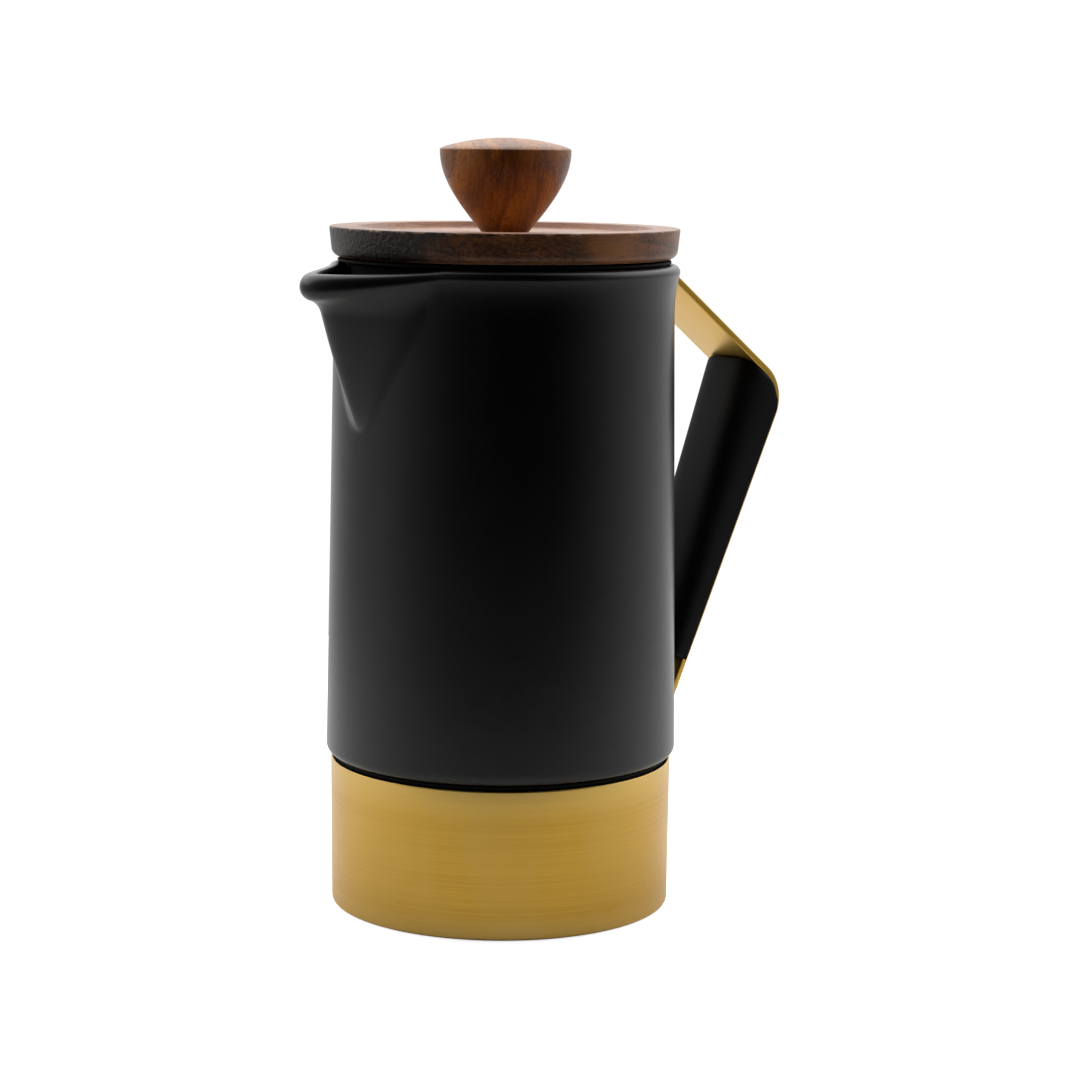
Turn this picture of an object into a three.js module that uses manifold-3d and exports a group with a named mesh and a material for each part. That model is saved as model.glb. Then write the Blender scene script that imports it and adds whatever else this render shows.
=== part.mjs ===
// A one-litre french press: black ceramic jug in a gold-coloured steel base cup, flat-bar
// handle with a black grip, wooden lid, and a plunger with a wooden knob.
// Millimetres, +Z up. The origin is the centre of the underside, on the surface it stands on.
// The spout points along -X and the handle along +X, so XZ is the plane of symmetry.
import * as THREE from 'three';
import { mergeVertices } from 'three/addons/utils/BufferGeometryUtils.js';
import Module from 'manifold-3d';

const wasm = await Module();
wasm.setup();

// ---- driving dimensions -------------------------------------------------------------------
const GAP = 0.3; // clearance between neighbouring pieces
const ROUND_SIDES = 40; // facets of the large round pieces
const SMALL_SIDES = 12; // facets of rods, screws and other small round pieces

const JUG = {
  lowerRadius: 50, // outer radius just above the base cup
  lowerZ: 45.7,
  upperRadius: 47.9, // outer radius below the flared rim
  upperZ: 174,
  boreRadius: 43.5,
  rimBead: { r: 47.2, z: 180.6, radius: 2.1 },
  rimFlat: 1.2, // width of the level top of the rim, away from the spout
  flareZ: 168.5, // where the wall starts to curve out to the rim
  shoulderZ: 43.4, // underside of the step that overhangs the base cup
  shoulderCorner: 2.3,
  footRadius: 46.3,
  footZ: 4.6,
  footCorner: 14,
  floorZ: 12,
  floorCorner: 12,
};
const SPOUT = {
  startZ: 137.5, // where the keel leaves the wall
  underBeadZ: 170,
  slope: 0.4365, // keel line: reach = slope * h - curve * h^2, h above startZ
  curve: 0.0026,
  tipBead: { r: 62.3, z: 177.2, radius: 3.7 },
  dipPower: 0.55, // how soon the rim drops towards the lip: less is sooner
  halfAngleAtStart: 6,
  halfAnglePerMm: 0.75,
  halfAngleAtRim: 35,
  keelRounding: 0.15,
  flankPower: 1.8,
};
const BASE = {
  edgeZ: 0.12, // underside of the rolled edge round the foot pad
  bottomZ: 0.6,
  topZ: 42,
  bottomRadius: 48.4,
  topRadius: 48.7,
  wall: 0.9,
  fillet: 0.8,
};
const FOOT_PAD = { bottomRadius: 44, topRadius: 44.4, topZ: 0.4 };
const STRAP = {
  width: 22.6,
  thickness: 2,
  upperTabX: 49.4, // jug-side face of the upper tab
  upperTabEndZ: 150,
  lowerTabX: 52.4, // outer face of the lower tab
  lowerTabEndZ: 20,
  corner: { x: 96.25, z: 144.5 }, // where the outer faces of the two runs would meet
  upperAngle: 38.5, // upper run, degrees below horizontal
  lowerAngle: 24.6, // lower run, degrees from vertical
  tabRadius: 2.4,
  cornerRadius: 12,
  footRadius: 5,
  screwZ: [168, 156],
  rivetZ: [34, 25],
};
const GRIP = {
  start: -6, // distances down the lower run from the strap's corner
  end: 88,
  depth: 15.5, // below the strap's inner face at the start; it tapers towards the end
  endDepth: 5.4,
  halfWidth: 12.1,
  sideDepth: 1, // flat part of each side below the strap's inner face
  squareness: 4, // of the rounded inner side: 2 is an ellipse, more is squarer
  reveal: 1, // strip of strap edge left showing
  screwAt: [20, 60],
  screwLength: 6.2,
};
const LID = {
  bottomZ: 184.2,
  topZ: 192.7,
  topRadius: 49.2,
  bottomRadius: 48.3,
  recessRadius: 40,
  recessZ: 191,
  holeRadius: 5.3,
  lowerCorner: 2.6,
  upperCorner: 0.6,
  recessCorner: 1.6,
  screwCircle: 35.5, // radius of the circle that the collar's screws stand on
};
const KNOB = { bottomZ: 191.3, rimZ: 214.5, rimRadius: 18.4, topZ: 217.4, footRadius: 6.7 };
const ROD = { radius: 2.5, bottomZ: 20.6, topZ: 206 };
const FILTER = { radius: 43.1, crossZ: 25.4, meshZ: 27.3, springZ: 29.6, plateZ: 30.2 };

const COLOURS = {
  ceramic: { color: 0x0d0e0e, roughness: 0.42, metalness: 0 },
  gold: { color: 0xb48a3c, roughness: 0.34, metalness: 1 },
  wood: { color: 0x4a2a18, roughness: 0.6, metalness: 0 },
  grip: { color: 0x101111, roughness: 0.7, metalness: 0 },
  silicone: { color: 0x18191a, roughness: 0.8, metalness: 0 },
  steel: { color: 0xb9bbbd, roughness: 0.3, metalness: 1 },
  brass: { color: 0xb08d47, roughness: 0.35, metalness: 1 },
};

// ---- geometry helpers ---------------------------------------------------------------------
const radians = THREE.MathUtils.degToRad;
const mix = THREE.MathUtils.lerp;

function signedVolume(position, index) {
  const [a, b, c] = [new THREE.Vector3(), new THREE.Vector3(), new THREE.Vector3()];
  let volume = 0;
  for (let i = 0; i < index.length; i += 3) {
    a.fromBufferAttribute(position, index[i]);
    b.fromBufferAttribute(position, index[i + 1]);
    c.fromBufferAttribute(position, index[i + 2]);
    volume += a.dot(b.cross(c)) / 6;
  }
  return volume;
}

// One welded, closed surface whose faces point out.
function welded(geometry) {
  const bare = new THREE.BufferGeometry();
  bare.setAttribute('position', geometry.getAttribute('position').clone());
  bare.setIndex(geometry.index);
  const merged = mergeVertices(bare, 1e-4);
  const kept = [];
  const index = merged.index.array;
  for (let i = 0; i < index.length; i += 3) {
    const [a, b, c] = [index[i], index[i + 1], index[i + 2]];
    if (a !== b && b !== c && c !== a) kept.push(a, b, c);
  }
  if (signedVolume(merged.getAttribute('position'), kept) < 0) kept.reverse();
  merged.setIndex(kept);
  return merged;
}

function toSolid(geometry) {
  const closed = welded(geometry);
  const vertProperties = new Float32Array(closed.getAttribute('position').array);
  const triVerts = new Uint32Array(closed.index.array);
  return new wasm.Manifold(new wasm.Mesh({ numProp: 3, vertProperties, triVerts }));
}

function fromSolid(solid) {
  const mesh = solid.getMesh();
  const geometry = new THREE.BufferGeometry();
  geometry.setAttribute('position', new THREE.BufferAttribute(mesh.vertProperties, 3));
  geometry.setIndex(Array.from(mesh.triVerts));
  return geometry;
}

function cut(geometry, tools) {
  let solid = toSolid(geometry);
  for (const tool of tools) solid = solid.subtract(toSolid(tool));
  return fromSolid(solid);
}

// Points of a circular arc in an outline; angles in degrees.
function arc(x, y, radius, from, to, steps) {
  const points = [];
  for (let i = 0; i <= steps; i += 1) {
    const angle = radians(mix(from, to, i / steps));
    points.push([x + radius * Math.cos(angle), y + radius * Math.sin(angle)]);
  }
  return points;
}

// A body of revolution about +Z from [radius, z] points.
function turned(outline, sides = ROUND_SIDES) {
  const points = outline.map(([r, z]) => new THREE.Vector2(r, z));
  return new THREE.LatheGeometry(points, sides).rotateX(Math.PI / 2);
}

function turnedRing(outline, sides = ROUND_SIDES) {
  return turned([...outline, outline[0]], sides);
}

function disc(radius, z0, z1, sides = ROUND_SIDES) {
  return turned([[0, z0], [radius, z0], [radius, z1], [0, z1]], sides);
}

function ring(inner, outer, z0, z1, sides = ROUND_SIDES) {
  return turnedRing([[inner, z0], [outer, z0], [outer, z1], [inner, z1]], sides);
}

// A prism across the width of the handle, from an outline in the XZ plane.
function acrossHandle(outline, width) {
  const shape = new THREE.Shape(outline.map(([x, z]) => new THREE.Vector2(x, z)));
  const geometry = new THREE.ExtrudeGeometry(shape, { depth: width, bevelEnabled: false });
  return geometry.translate(0, 0, -width / 2).rotateX(Math.PI / 2);
}

// Turns a piece that was made along +Z so that it lies along a direction, at a point.
function aimed(geometry, at, direction) {
  const turn = new THREE.Quaternion();
  turn.setFromUnitVectors(new THREE.Vector3(0, 0, 1), direction.clone().normalize());
  return geometry.applyQuaternion(turn).translate(at.x, at.y, at.z);
}

function hexagon(acrossFlats) {
  const shape = new THREE.Shape();
  shape.setFromPoints(
    arc(0, 0, acrossFlats / Math.sqrt(3), 0, 300, 5).map(([x, y]) => new THREE.Vector2(x, y)),
  );
  return shape;
}

function hexPrism(acrossFlats, z0, z1) {
  const options = { depth: z1 - z0, bevelEnabled: false };
  return new THREE.ExtrudeGeometry(hexagon(acrossFlats), options).translate(0, 0, z0);
}

// ---- jug ----------------------------------------------------------------------------------
// How far the spout stands out at an angle from its middle: 1 in the middle, 0 at its edge.
function spoutShare(angle, halfAngle) {
  const t = Math.min(1, Math.abs(angle) / halfAngle);
  const c = SPOUT.keelRounding;
  const softened = (Math.hypot(t, c) - c) / (Math.hypot(1, c) - c);
  return (1 - softened) ** SPOUT.flankPower;
}

function keelReach(z, angle) {
  const h = z - SPOUT.startZ;
  if (h <= 0) return 0;
  const half = Math.min(SPOUT.halfAngleAtRim, SPOUT.halfAngleAtStart + SPOUT.halfAnglePerMm * h);
  return (SPOUT.slope * h - SPOUT.curve * h * h) * spoutShare(angle, half);
}

function jugWallRadius(z) {
  const t = (z - JUG.lowerZ) / (JUG.upperZ - JUG.lowerZ);
  return mix(JUG.lowerRadius, JUG.upperRadius, t);
}

// A curve that leaves a wall along the wall's own slope, given the wall's last two points.
function flare(before, start, end) {
  const [from, to] = [new THREE.Vector2(...start), new THREE.Vector2(...end)];
  const slope = from.clone().sub(new THREE.Vector2(...before)).normalize();
  const via = from.clone().addScaledVector(slope, from.distanceTo(to) * 0.55);
  const curve = new THREE.QuadraticBezierCurve(from, via, to);
  return [0.3, 0.55, 0.8].map((t) => curve.getPoint(t).toArray());
}

// The jug's section at an angle, in degrees, from the middle of the spout.
function jugSection(angle) {
  const share = spoutShare(angle, SPOUT.halfAngleAtRim);
  const beadR = mix(JUG.rimBead.r, SPOUT.tipBead.r, share);
  const beadZ = mix(JUG.rimBead.z, SPOUT.tipBead.z, share ** SPOUT.dipPower);
  const beadRadius = mix(JUG.rimBead.radius, SPOUT.tipBead.radius, share);
  const flareZ = mix(JUG.flareZ, SPOUT.underBeadZ, share);
  const outer = [SPOUT.startZ, 142, 150, 160, flareZ - 1, flareZ].map(
    (z) => [jugWallRadius(z) + keelReach(z, angle), z],
  );
  const bead = arc(beadR, beadZ, beadRadius, mix(-20, -80, share), 90, 6);
  const innerBeadR = beadR - JUG.rimFlat * (1 - share);
  const inner = [SPOUT.underBeadZ, 158, 147, SPOUT.startZ].map(
    (z) => [JUG.boreRadius + keelReach(z, angle), z],
  );
  const { lowerRadius, boreRadius, shoulderZ, footRadius, footZ, floorZ } = JUG;
  const { shoulderCorner, footCorner, floorCorner } = JUG;
  return [
    [0, footZ],
    ...arc(footRadius - footCorner, footZ + footCorner, footCorner, -90, 0, 4),
    [footRadius, shoulderZ],
    [lowerRadius - shoulderCorner - 0.2, shoulderZ],
    ...arc(lowerRadius - shoulderCorner, shoulderZ + shoulderCorner, shoulderCorner, -60, 0, 2),
    ...outer,
    ...flare(...outer.slice(-2), bead[0]),
    ...bead,
    ...arc(innerBeadR, beadZ, beadRadius, 90, 180, 3),
    ...inner,
    ...arc(boreRadius - floorCorner, floorZ + floorCorner, floorCorner, 0, -90, 3),
    [0, floorZ],
  ];
}

function jugBody() {
  const sides = 52;
  const section = jugSection(180);
  const geometry = turned(section, sides);
  const position = geometry.getAttribute('position');
  const crowding = 0.6; // sides are closer together around the spout
  for (let side = 0; side <= sides; side += 1) {
    const even = (2 * Math.PI * (side % sides)) / sides - Math.PI;
    const angle = even - crowding * Math.sin(even);
    jugSection(THREE.MathUtils.radToDeg(angle)).forEach(([r, z], i) => {
      const index = side * section.length + i;
      position.setXYZ(index, -r * Math.cos(angle), -r * Math.sin(angle), z);
    });
  }
  const sockets = STRAP.screwZ.map((z) => {
    const socket = disc(3.2 + GAP, 0, 10, SMALL_SIDES);
    return aimed(socket, new THREE.Vector3(44.6, 0, z), new THREE.Vector3(1, 0, 0));
  });
  return cut(geometry, sockets);
}

// ---- base ---------------------------------------------------------------------------------
function baseCup() {
  const { edgeZ, bottomZ, topZ, bottomRadius, topRadius, wall, fillet } = BASE;
  const cup = turned([
    [0, bottomZ],
    [FOOT_PAD.topRadius + GAP, bottomZ],
    [FOOT_PAD.topRadius + 2 * GAP, edgeZ],
    ...arc(bottomRadius - fillet, edgeZ + fillet, fillet, -90, 0, 3),
    [topRadius, topZ],
    [topRadius - wall, topZ],
    [bottomRadius - wall, bottomZ + wall + 0.6],
    [bottomRadius - wall - 0.6, bottomZ + wall],
    [0, bottomZ + wall],
  ]);
  const holes = STRAP.rivetZ.map((z) => {
    const hole = disc(1.6 + GAP, 0, 20, SMALL_SIDES);
    return aimed(hole, new THREE.Vector3(40, 0, z), new THREE.Vector3(1, 0, 0));
  });
  return cut(cup, holes);
}

function seatRing() {
  const lip = BASE.topZ + GAP;
  const outer = BASE.topRadius - BASE.wall - GAP;
  return turnedRing([
    [JUG.footRadius + 0.2, 38],
    [outer - 0.2, 38],
    [outer, lip],
    [BASE.topRadius - 0.9, lip],
    [BASE.topRadius - 0.9, JUG.shoulderZ - 0.2],
    [JUG.footRadius + 0.2, JUG.shoulderZ - 0.2],
  ]);
}

function baseCushion() {
  return disc(30, BASE.bottomZ + BASE.wall + 0.2, JUG.footZ - 0.2);
}

function footPad() {
  const { bottomRadius, topRadius, topZ } = FOOT_PAD;
  return turned([[0, 0], [bottomRadius, 0], [topRadius, topZ], [0, topZ]]);
}

// ---- handle -------------------------------------------------------------------------------
// Rounds the corners of a path; each corner is { x, z, radius }. Steps are every 10 degrees.
function roundedPath(corners) {
  const points = [];
  corners.forEach((corner, i) => {
    if (!corner.radius) {
      points.push([corner.x, corner.z]);
      return;
    }
    const here = new THREE.Vector2(corner.x, corner.z);
    const into = here.clone().sub(new THREE.Vector2(corners[i - 1].x, corners[i - 1].z)).normalize();
    const out = new THREE.Vector2(corners[i + 1].x, corners[i + 1].z).sub(here).normalize();
    const turn = Math.atan2(into.cross(out), into.dot(out));
    const side = Math.sign(turn);
    const run = corner.radius * Math.tan(Math.abs(turn) / 2);
    const start = here.clone().addScaledVector(into, -run);
    const normal = new THREE.Vector2(-into.y, into.x).multiplyScalar(side * corner.radius);
    const centre = start.clone().add(normal);
    const steps = Math.max(2, Math.round(Math.abs(turn) / radians(10)));
    for (let k = 0; k <= steps; k += 1) {
      const spoke = start.clone().rotateAround(centre, (turn * k) / steps);
      points.push([spoke.x, spoke.y]);
    }
  });
  return points;
}

// Directions of the two sloping runs, both going down.
const upperRun = new THREE.Vector2(1, 0).rotateAround(new THREE.Vector2(), -radians(STRAP.upperAngle));
const lowerRun = new THREE.Vector2(0, -1).rotateAround(new THREE.Vector2(), -radians(STRAP.lowerAngle));

// The bar's outer face moved inwards by an offset, with its four straight runs and bends.
function strapLine(offset) {
  const { corner, upperTabX, lowerTabX, tabRadius, cornerRadius, footRadius } = STRAP;
  const upperIn = new THREE.Vector2(upperRun.y, -upperRun.x);
  const lowerIn = new THREE.Vector2(lowerRun.y, -lowerRun.x);
  const upperPoint = new THREE.Vector2(corner.x, corner.z).addScaledVector(upperIn, offset);
  const lowerPoint = new THREE.Vector2(corner.x, corner.z).addScaledVector(lowerIn, offset);
  const topX = upperTabX + offset;
  const footX = lowerTabX - offset;
  const topZ = upperPoint.y + ((topX - upperPoint.x) * upperRun.y) / upperRun.x;
  const footZ = lowerPoint.y + ((footX - lowerPoint.x) * lowerRun.y) / lowerRun.x;
  const along = lowerPoint.clone().sub(upperPoint).cross(lowerRun) / upperRun.cross(lowerRun);
  const bend = upperPoint.clone().addScaledVector(upperRun, along);
  return [
    { x: topX, z: STRAP.upperTabEndZ },
    { x: topX, z: topZ, radius: tabRadius - offset },
    { x: bend.x, z: bend.y, radius: cornerRadius - offset },
    { x: footX, z: footZ, radius: footRadius + offset },
    { x: footX, z: STRAP.lowerTabEndZ },
  ];
}

function barOutline(outerOffset, innerOffset) {
  const outer = roundedPath(strapLine(outerOffset));
  const inner = roundedPath(strapLine(innerOffset)).reverse();
  return [...outer, ...inner];
}

// A point on the lower run: a distance down from the corner, and inwards from the outer face.
function onLowerRun(distance, inwards) {
  const x = STRAP.corner.x + lowerRun.x * distance + lowerRun.y * inwards;
  const z = STRAP.corner.z + lowerRun.y * distance - lowerRun.x * inwards;
  return new THREE.Vector3(x, 0, z);
}

const outwards = new THREE.Vector3(1, 0, 0);
const outOfGrip = new THREE.Vector3(-lowerRun.y, 0, lowerRun.x);

function gripScrewHoles() {
  return GRIP.screwAt.map((distance) => {
    const radius = 1.5 + GAP;
    const head = 3 + GAP;
    const end = -GRIP.screwLength - GAP;
    const hole = turned(
      [[0, end], [radius, end], [radius, -1.7], [head, 0], [head, 3], [0, 3]],
      SMALL_SIDES,
    );
    return aimed(hole, onLowerRun(distance, 0), outOfGrip);
  });
}

function handleStrap() {
  const bar = acrossHandle(barOutline(0, STRAP.thickness), STRAP.width);
  const screwHoles = STRAP.screwZ.map((z) => {
    const hole = disc(2.2, -2, 8, SMALL_SIDES);
    return aimed(hole, new THREE.Vector3(STRAP.upperTabX, 0, z), outwards);
  });
  const rivetHoles = STRAP.rivetZ.map((z) => {
    const hole = disc(1.6 + GAP, -6, 4, SMALL_SIDES);
    return aimed(hole, new THREE.Vector3(STRAP.lowerTabX, 0, z), outwards);
  });
  return cut(bar, [...screwHoles, ...rivetHoles, ...gripScrewHoles()]);
}

function gripSection() {
  const { halfWidth, sideDepth, depth, squareness, reveal } = GRIP;
  const outline = [new THREE.Vector2(halfWidth, -reveal), new THREE.Vector2(-halfWidth, -reveal)];
  const squared = (value) => Math.sign(value) * Math.abs(value) ** (2 / squareness);
  arc(0, 0, 1, 180, 360, 14).forEach(([x, y]) => {
    const below = sideDepth - squared(y) * (depth - sideDepth);
    outline.push(new THREE.Vector2(squared(x) * halfWidth, -STRAP.thickness - below));
  });
  return new THREE.Shape(outline);
}

// The part of the XZ plane that the grip may fill: below the upper run's inner face, round a
// bend where its wrap comes out over the strap's edge, and down the lower run.
function gripRegion() {
  const turn = 90 - STRAP.upperAngle + STRAP.lowerAngle;
  const bendStart = STRAP.cornerRadius * Math.tan(radians(turn / 2));
  const centre = onLowerRun(bendStart, STRAP.cornerRadius);
  const steps = 8;
  const bend = [];
  for (let i = 0; i <= steps; i += 1) {
    const t = i / steps;
    const angle = radians(90 - STRAP.upperAngle - turn * t);
    const radius = STRAP.cornerRadius - mix(STRAP.thickness + GAP, GRIP.reveal, t ** 0.8);
    bend.push([centre.x + radius * Math.cos(angle), centre.z + radius * Math.sin(angle)]);
  }
  const far = 120;
  const outerEnd = onLowerRun(far, GRIP.reveal);
  const innerEnd = onLowerRun(far, 60);
  const topEnd = [bend[0][0] - far * upperRun.x, bend[0][1] - far * upperRun.y];
  return [topEnd, ...bend, [outerEnd.x, outerEnd.z], [innerEnd.x, innerEnd.z]];
}

// A D-shaped bar on the inside of the lower run, wrapped round the strap's edges and thinner
// towards its lower end. Its top follows the underside of the upper run.
function handleGrip() {
  const length = GRIP.end - GRIP.start;
  const bar = new THREE.ExtrudeGeometry(gripSection(), { depth: length, bevelEnabled: false });
  const position = bar.getAttribute('position');
  for (let i = 0; i < position.count; i += 1) {
    const below = position.getY(i) + STRAP.thickness;
    const share = mix(1, GRIP.endDepth / GRIP.depth, position.getZ(i) / length);
    if (below < 0) position.setY(i, below * share - STRAP.thickness);
  }
  const across = new THREE.Vector3(0, -1, 0);
  const down = new THREE.Vector3(lowerRun.x, 0, lowerRun.y);
  const place = new THREE.Matrix4().makeBasis(across, outOfGrip, down);
  bar.applyMatrix4(place.setPosition(onLowerRun(GRIP.start, 0)));
  const region = acrossHandle(gripRegion(), 60);
  const channel = acrossHandle(barOutline(-4, STRAP.thickness + 0.2), STRAP.width + 0.4);
  const solid = toSolid(bar).intersect(toSolid(region));
  return cut(fromSolid(solid), [channel, ...gripScrewHoles()]);
}

function gripScrew(distance) {
  const end = -GRIP.screwLength;
  const screw = turned([[0, end], [1.5, end], [1.5, -1.7], [3, -0.1], [0, -0.1]], SMALL_SIDES);
  return aimed(screw, onLowerRun(distance, 0), outOfGrip);
}

// A soft pad between a flat tab and the round wall behind it.
function wallPad(x, z0, z1, wallRadius, holes) {
  const block = new THREE.BoxGeometry(8, STRAP.width - 1, z1 - z0);
  block.translate(x - GAP / 2 - 4, 0, (z0 + z1) / 2);
  const [low, high] = [z0 - 5, z1 + 5];
  const wall = turned([[0, low], [wallRadius(low), low], [wallRadius(high), high], [0, high]], 120);
  const drills = holes.map((z) => {
    return aimed(disc(2.5, -10, 10, SMALL_SIDES), new THREE.Vector3(x, 0, z), outwards);
  });
  return cut(block, [wall, ...drills]);
}

function jugPad() {
  return wallPad(STRAP.upperTabX, 151, 171, (z) => jugWallRadius(z) + 0.25, STRAP.screwZ);
}

function basePad() {
  const radius = () => BASE.topRadius + 0.2;
  return wallPad(STRAP.lowerTabX - STRAP.thickness, 21, 41.5, radius, STRAP.rivetZ);
}

function handleInsert(z) {
  const insert = ring(2.1, 3.2, 0, 2.9, SMALL_SIDES);
  return aimed(insert, new THREE.Vector3(44.9, 0, z), outwards);
}

function handleScrew(z) {
  const x = STRAP.upperTabX + STRAP.thickness + 0.15;
  const head = turned(
    [[0, -6.2], [1.8, -6.2], [1.8, 0], [3.6, 0], [3.4, 1.3], [2.4, 2.1], [0, 2.1]],
    SMALL_SIDES,
  );
  const screw = cut(head, [hexPrism(2.5, 0.8, 4)]);
  return aimed(screw, new THREE.Vector3(x, 0, z), outwards);
}

function baseRivet(z) {
  const wallX = BASE.bottomRadius - BASE.wall;
  const outX = STRAP.lowerTabX + 0.15 - wallX;
  const rivet = turned(
    [[0, -0.8], [2.6, -0.8], [2.6, -0.15], [1.6, -0.15], [1.6, outX], [3.4, outX],
      ...arc(0, outX - 3.3, 4.75, 44, 90, 4)],
    SMALL_SIDES,
  );
  return aimed(rivet, new THREE.Vector3(wallX, 0, z), outwards);
}

// ---- lid ----------------------------------------------------------------------------------
const collarScrewAngles = [60, 180, 300].map(radians);

function atCollarScrew(geometry, angle) {
  const radius = LID.screwCircle;
  return geometry.translate(radius * Math.cos(angle), radius * Math.sin(angle), 0);
}

function collarScrewHoles() {
  return collarScrewAngles.map((angle) => {
    return atCollarScrew(disc(1.4 + GAP, 180, LID.bottomZ + 5.4, SMALL_SIDES), angle);
  });
}

function lidDisc() {
  const { bottomZ, topZ, topRadius, bottomRadius, recessRadius, recessZ, holeRadius } = LID;
  const { lowerCorner, upperCorner, recessCorner } = LID;
  const board = turnedRing([
    [holeRadius, bottomZ],
    ...arc(bottomRadius - lowerCorner, bottomZ + lowerCorner, lowerCorner, -90, -5, 3),
    ...arc(topRadius - upperCorner, topZ - upperCorner, upperCorner, 0, 90, 2),
    ...arc(recessRadius + recessCorner, recessZ + recessCorner, recessCorner, 180, 270, 2),
    [holeRadius, recessZ],
  ]);
  return cut(board, collarScrewHoles());
}

function lidCollar() {
  const flangeZ = LID.bottomZ - 0.25;
  const collar = turnedRing([
    [30, flangeZ],
    [30, flangeZ - 1],
    [40, flangeZ - 1],
    [40.9, flangeZ - 2],
    [40.9, 170.2],
    [41.9, 170.2],
    [41.9, flangeZ - 1.3],
    [41, flangeZ],
  ]);
  return cut(collar, collarScrewHoles());
}

// A silicone ring: its lip lies on the jug's rim, and its skirt centres the lid in the bore.
function lidGasket() {
  return turnedRing([
    [42.2, 176],
    [43.1, 176.6],
    [43.1, 182.2],
    [44.2, 182.9],
    [46.8, 182.95],
    [46.8, 183.8],
    [42.2, 183.8],
  ]);
}

function rodBush() {
  return turnedRing([
    [2.7, 182.4],
    [5, 182.4],
    [5, 190.8],
    [2.7, 190.8],
  ], SMALL_SIDES);
}

function bushNut() {
  const nut = new THREE.ExtrudeGeometry(hexagon(14), { depth: 2, bevelEnabled: false });
  nut.translate(0, 0, LID.bottomZ - 0.2 - 2);
  return cut(nut, [disc(5.3, 170, 190, SMALL_SIDES)]);
}

function collarScrew(angle) {
  const z = LID.bottomZ - 1.25 - 0.1;
  const screw = turned(
    [[0, z - 1.5], [2, z - 1.5], [2.8, z - 0.9], [2.8, z], [1.4, z], [1.4, z + 4.8], [0, z + 6]],
    SMALL_SIDES,
  );
  return atCollarScrew(screw, angle);
}

// ---- plunger ------------------------------------------------------------------------------
function plungerRod() {
  const { radius, bottomZ, topZ } = ROD;
  return turned([
    [0, bottomZ],
    [radius - 0.5, bottomZ],
    [radius, bottomZ + 0.5],
    [radius, topZ - 0.5],
    [radius - 0.5, topZ],
    [0, topZ],
  ], SMALL_SIDES);
}

function roundHoles(count, ringRadius, holeRadius, z0, z1) {
  const holes = [];
  for (let i = 0; i < count; i += 1) {
    const angle = (2 * Math.PI * i) / count;
    const hole = disc(holeRadius, z0, z1, 8);
    holes.push(hole.translate(ringRadius * Math.cos(angle), ringRadius * Math.sin(angle), 0));
  }
  return holes;
}

function springPlate() {
  const z = FILTER.plateZ;
  const plate = turnedRing([
    [2.8, z + 3],
    [9, z + 3],
    [13, z + 1.6],
    [38, z + 1.6],
    [40.6, z + 2.6],
    [40.6, z + 1.8],
    [38.4, z + 0.8],
    [12.7, z + 0.8],
    [8.7, z + 2.2],
    [2.8, z + 2.2],
  ]);
  return cut(plate, roundHoles(12, 31, 3, 20, 50));
}

function rimSpring() {
  const radius = 1.35;
  return turnedRing(arc(FILTER.radius - radius - 0.1, FILTER.springZ, radius, 0, 300, 5));
}

function meshScreen() {
  const z = FILTER.meshZ;
  return turnedRing([
    [2.8, z],
    [42, z],
    [FILTER.radius, z + 0.6],
    [41.8, z + 0.35],
    [2.8, z + 0.35],
  ]);
}

function crossPlate() {
  const z = FILTER.crossZ;
  const plate = turnedRing([
    [2.8, z - 1],
    [8, z - 1],
    [10.5, z + 0.4],
    [41.2, z + 0.4],
    [41.2, z + 1.3],
    [10.2, z + 1.3],
    [7.8, z],
    [2.8, z],
  ]);
  const windows = [];
  for (let i = 0; i < 4; i += 1) {
    const half = radians(38);
    const middle = (Math.PI / 2) * i;
    const shape = new THREE.Shape();
    shape.absarc(0, 0, 36, middle - half, middle + half, false);
    shape.absarc(0, 0, 14, middle + half, middle - half, true);
    shape.closePath();
    const options = { depth: 20, bevelEnabled: false, curveSegments: 6 };
    windows.push(new THREE.ExtrudeGeometry(shape, options).translate(0, 0, z - 8));
  }
  return cut(plate, windows);
}

function rodHub() {
  const z = FILTER.plateZ + 3.25;
  return turnedRing([
    [2.7, z],
    [6.5, z],
    [6.5, z + 2],
    [4.6, z + 3.4],
    [4.2, z + 10],
    [2.7, z + 10],
  ], SMALL_SIDES);
}

function filterNut() {
  const top = FILTER.crossZ - 1.25;
  return turnedRing([
    [2.7, top],
    [7, top],
    [7, top - 2.2],
    [6.2, top - 3.4],
    [2.7, top - 3.4],
  ], SMALL_SIDES);
}

// ---- knob ---------------------------------------------------------------------------------
// The side of the knob is a quarter of a sine wave: steep at the rim and drawn in to its foot.
function knobSide() {
  const points = [];
  const steps = 7;
  for (let i = 0; i <= steps; i += 1) {
    const t = i / steps;
    const z = mix(KNOB.bottomZ, KNOB.rimZ - 0.7, t);
    const r = mix(KNOB.footRadius, KNOB.rimRadius, Math.sin((Math.PI / 2) * t));
    points.push([r, z]);
  }
  return points;
}

function knobBody() {
  const dome = arc(0, KNOB.topZ - 60.3, 60.3, 73, 90, 3);
  const boreTop = ROD.topZ + 0.6;
  return turned([
    [0, boreTop],
    [4.6, boreTop],
    [4.6, KNOB.bottomZ],
    ...knobSide(),
    [KNOB.rimRadius, KNOB.rimZ - 0.3],
    ...dome,
  ], 32);
}

function knobInsert() {
  return ring(2.7, 4.35, KNOB.bottomZ + 0.2, ROD.topZ + 0.2, SMALL_SIDES);
}

// ---- assembly -----------------------------------------------------------------------------
const press = new THREE.Group();

function add(name, geometry, look) {
  const mesh = new THREE.Mesh(welded(geometry), new THREE.MeshStandardMaterial(COLOURS[look]));
  mesh.name = name;
  press.add(mesh);
}

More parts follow.
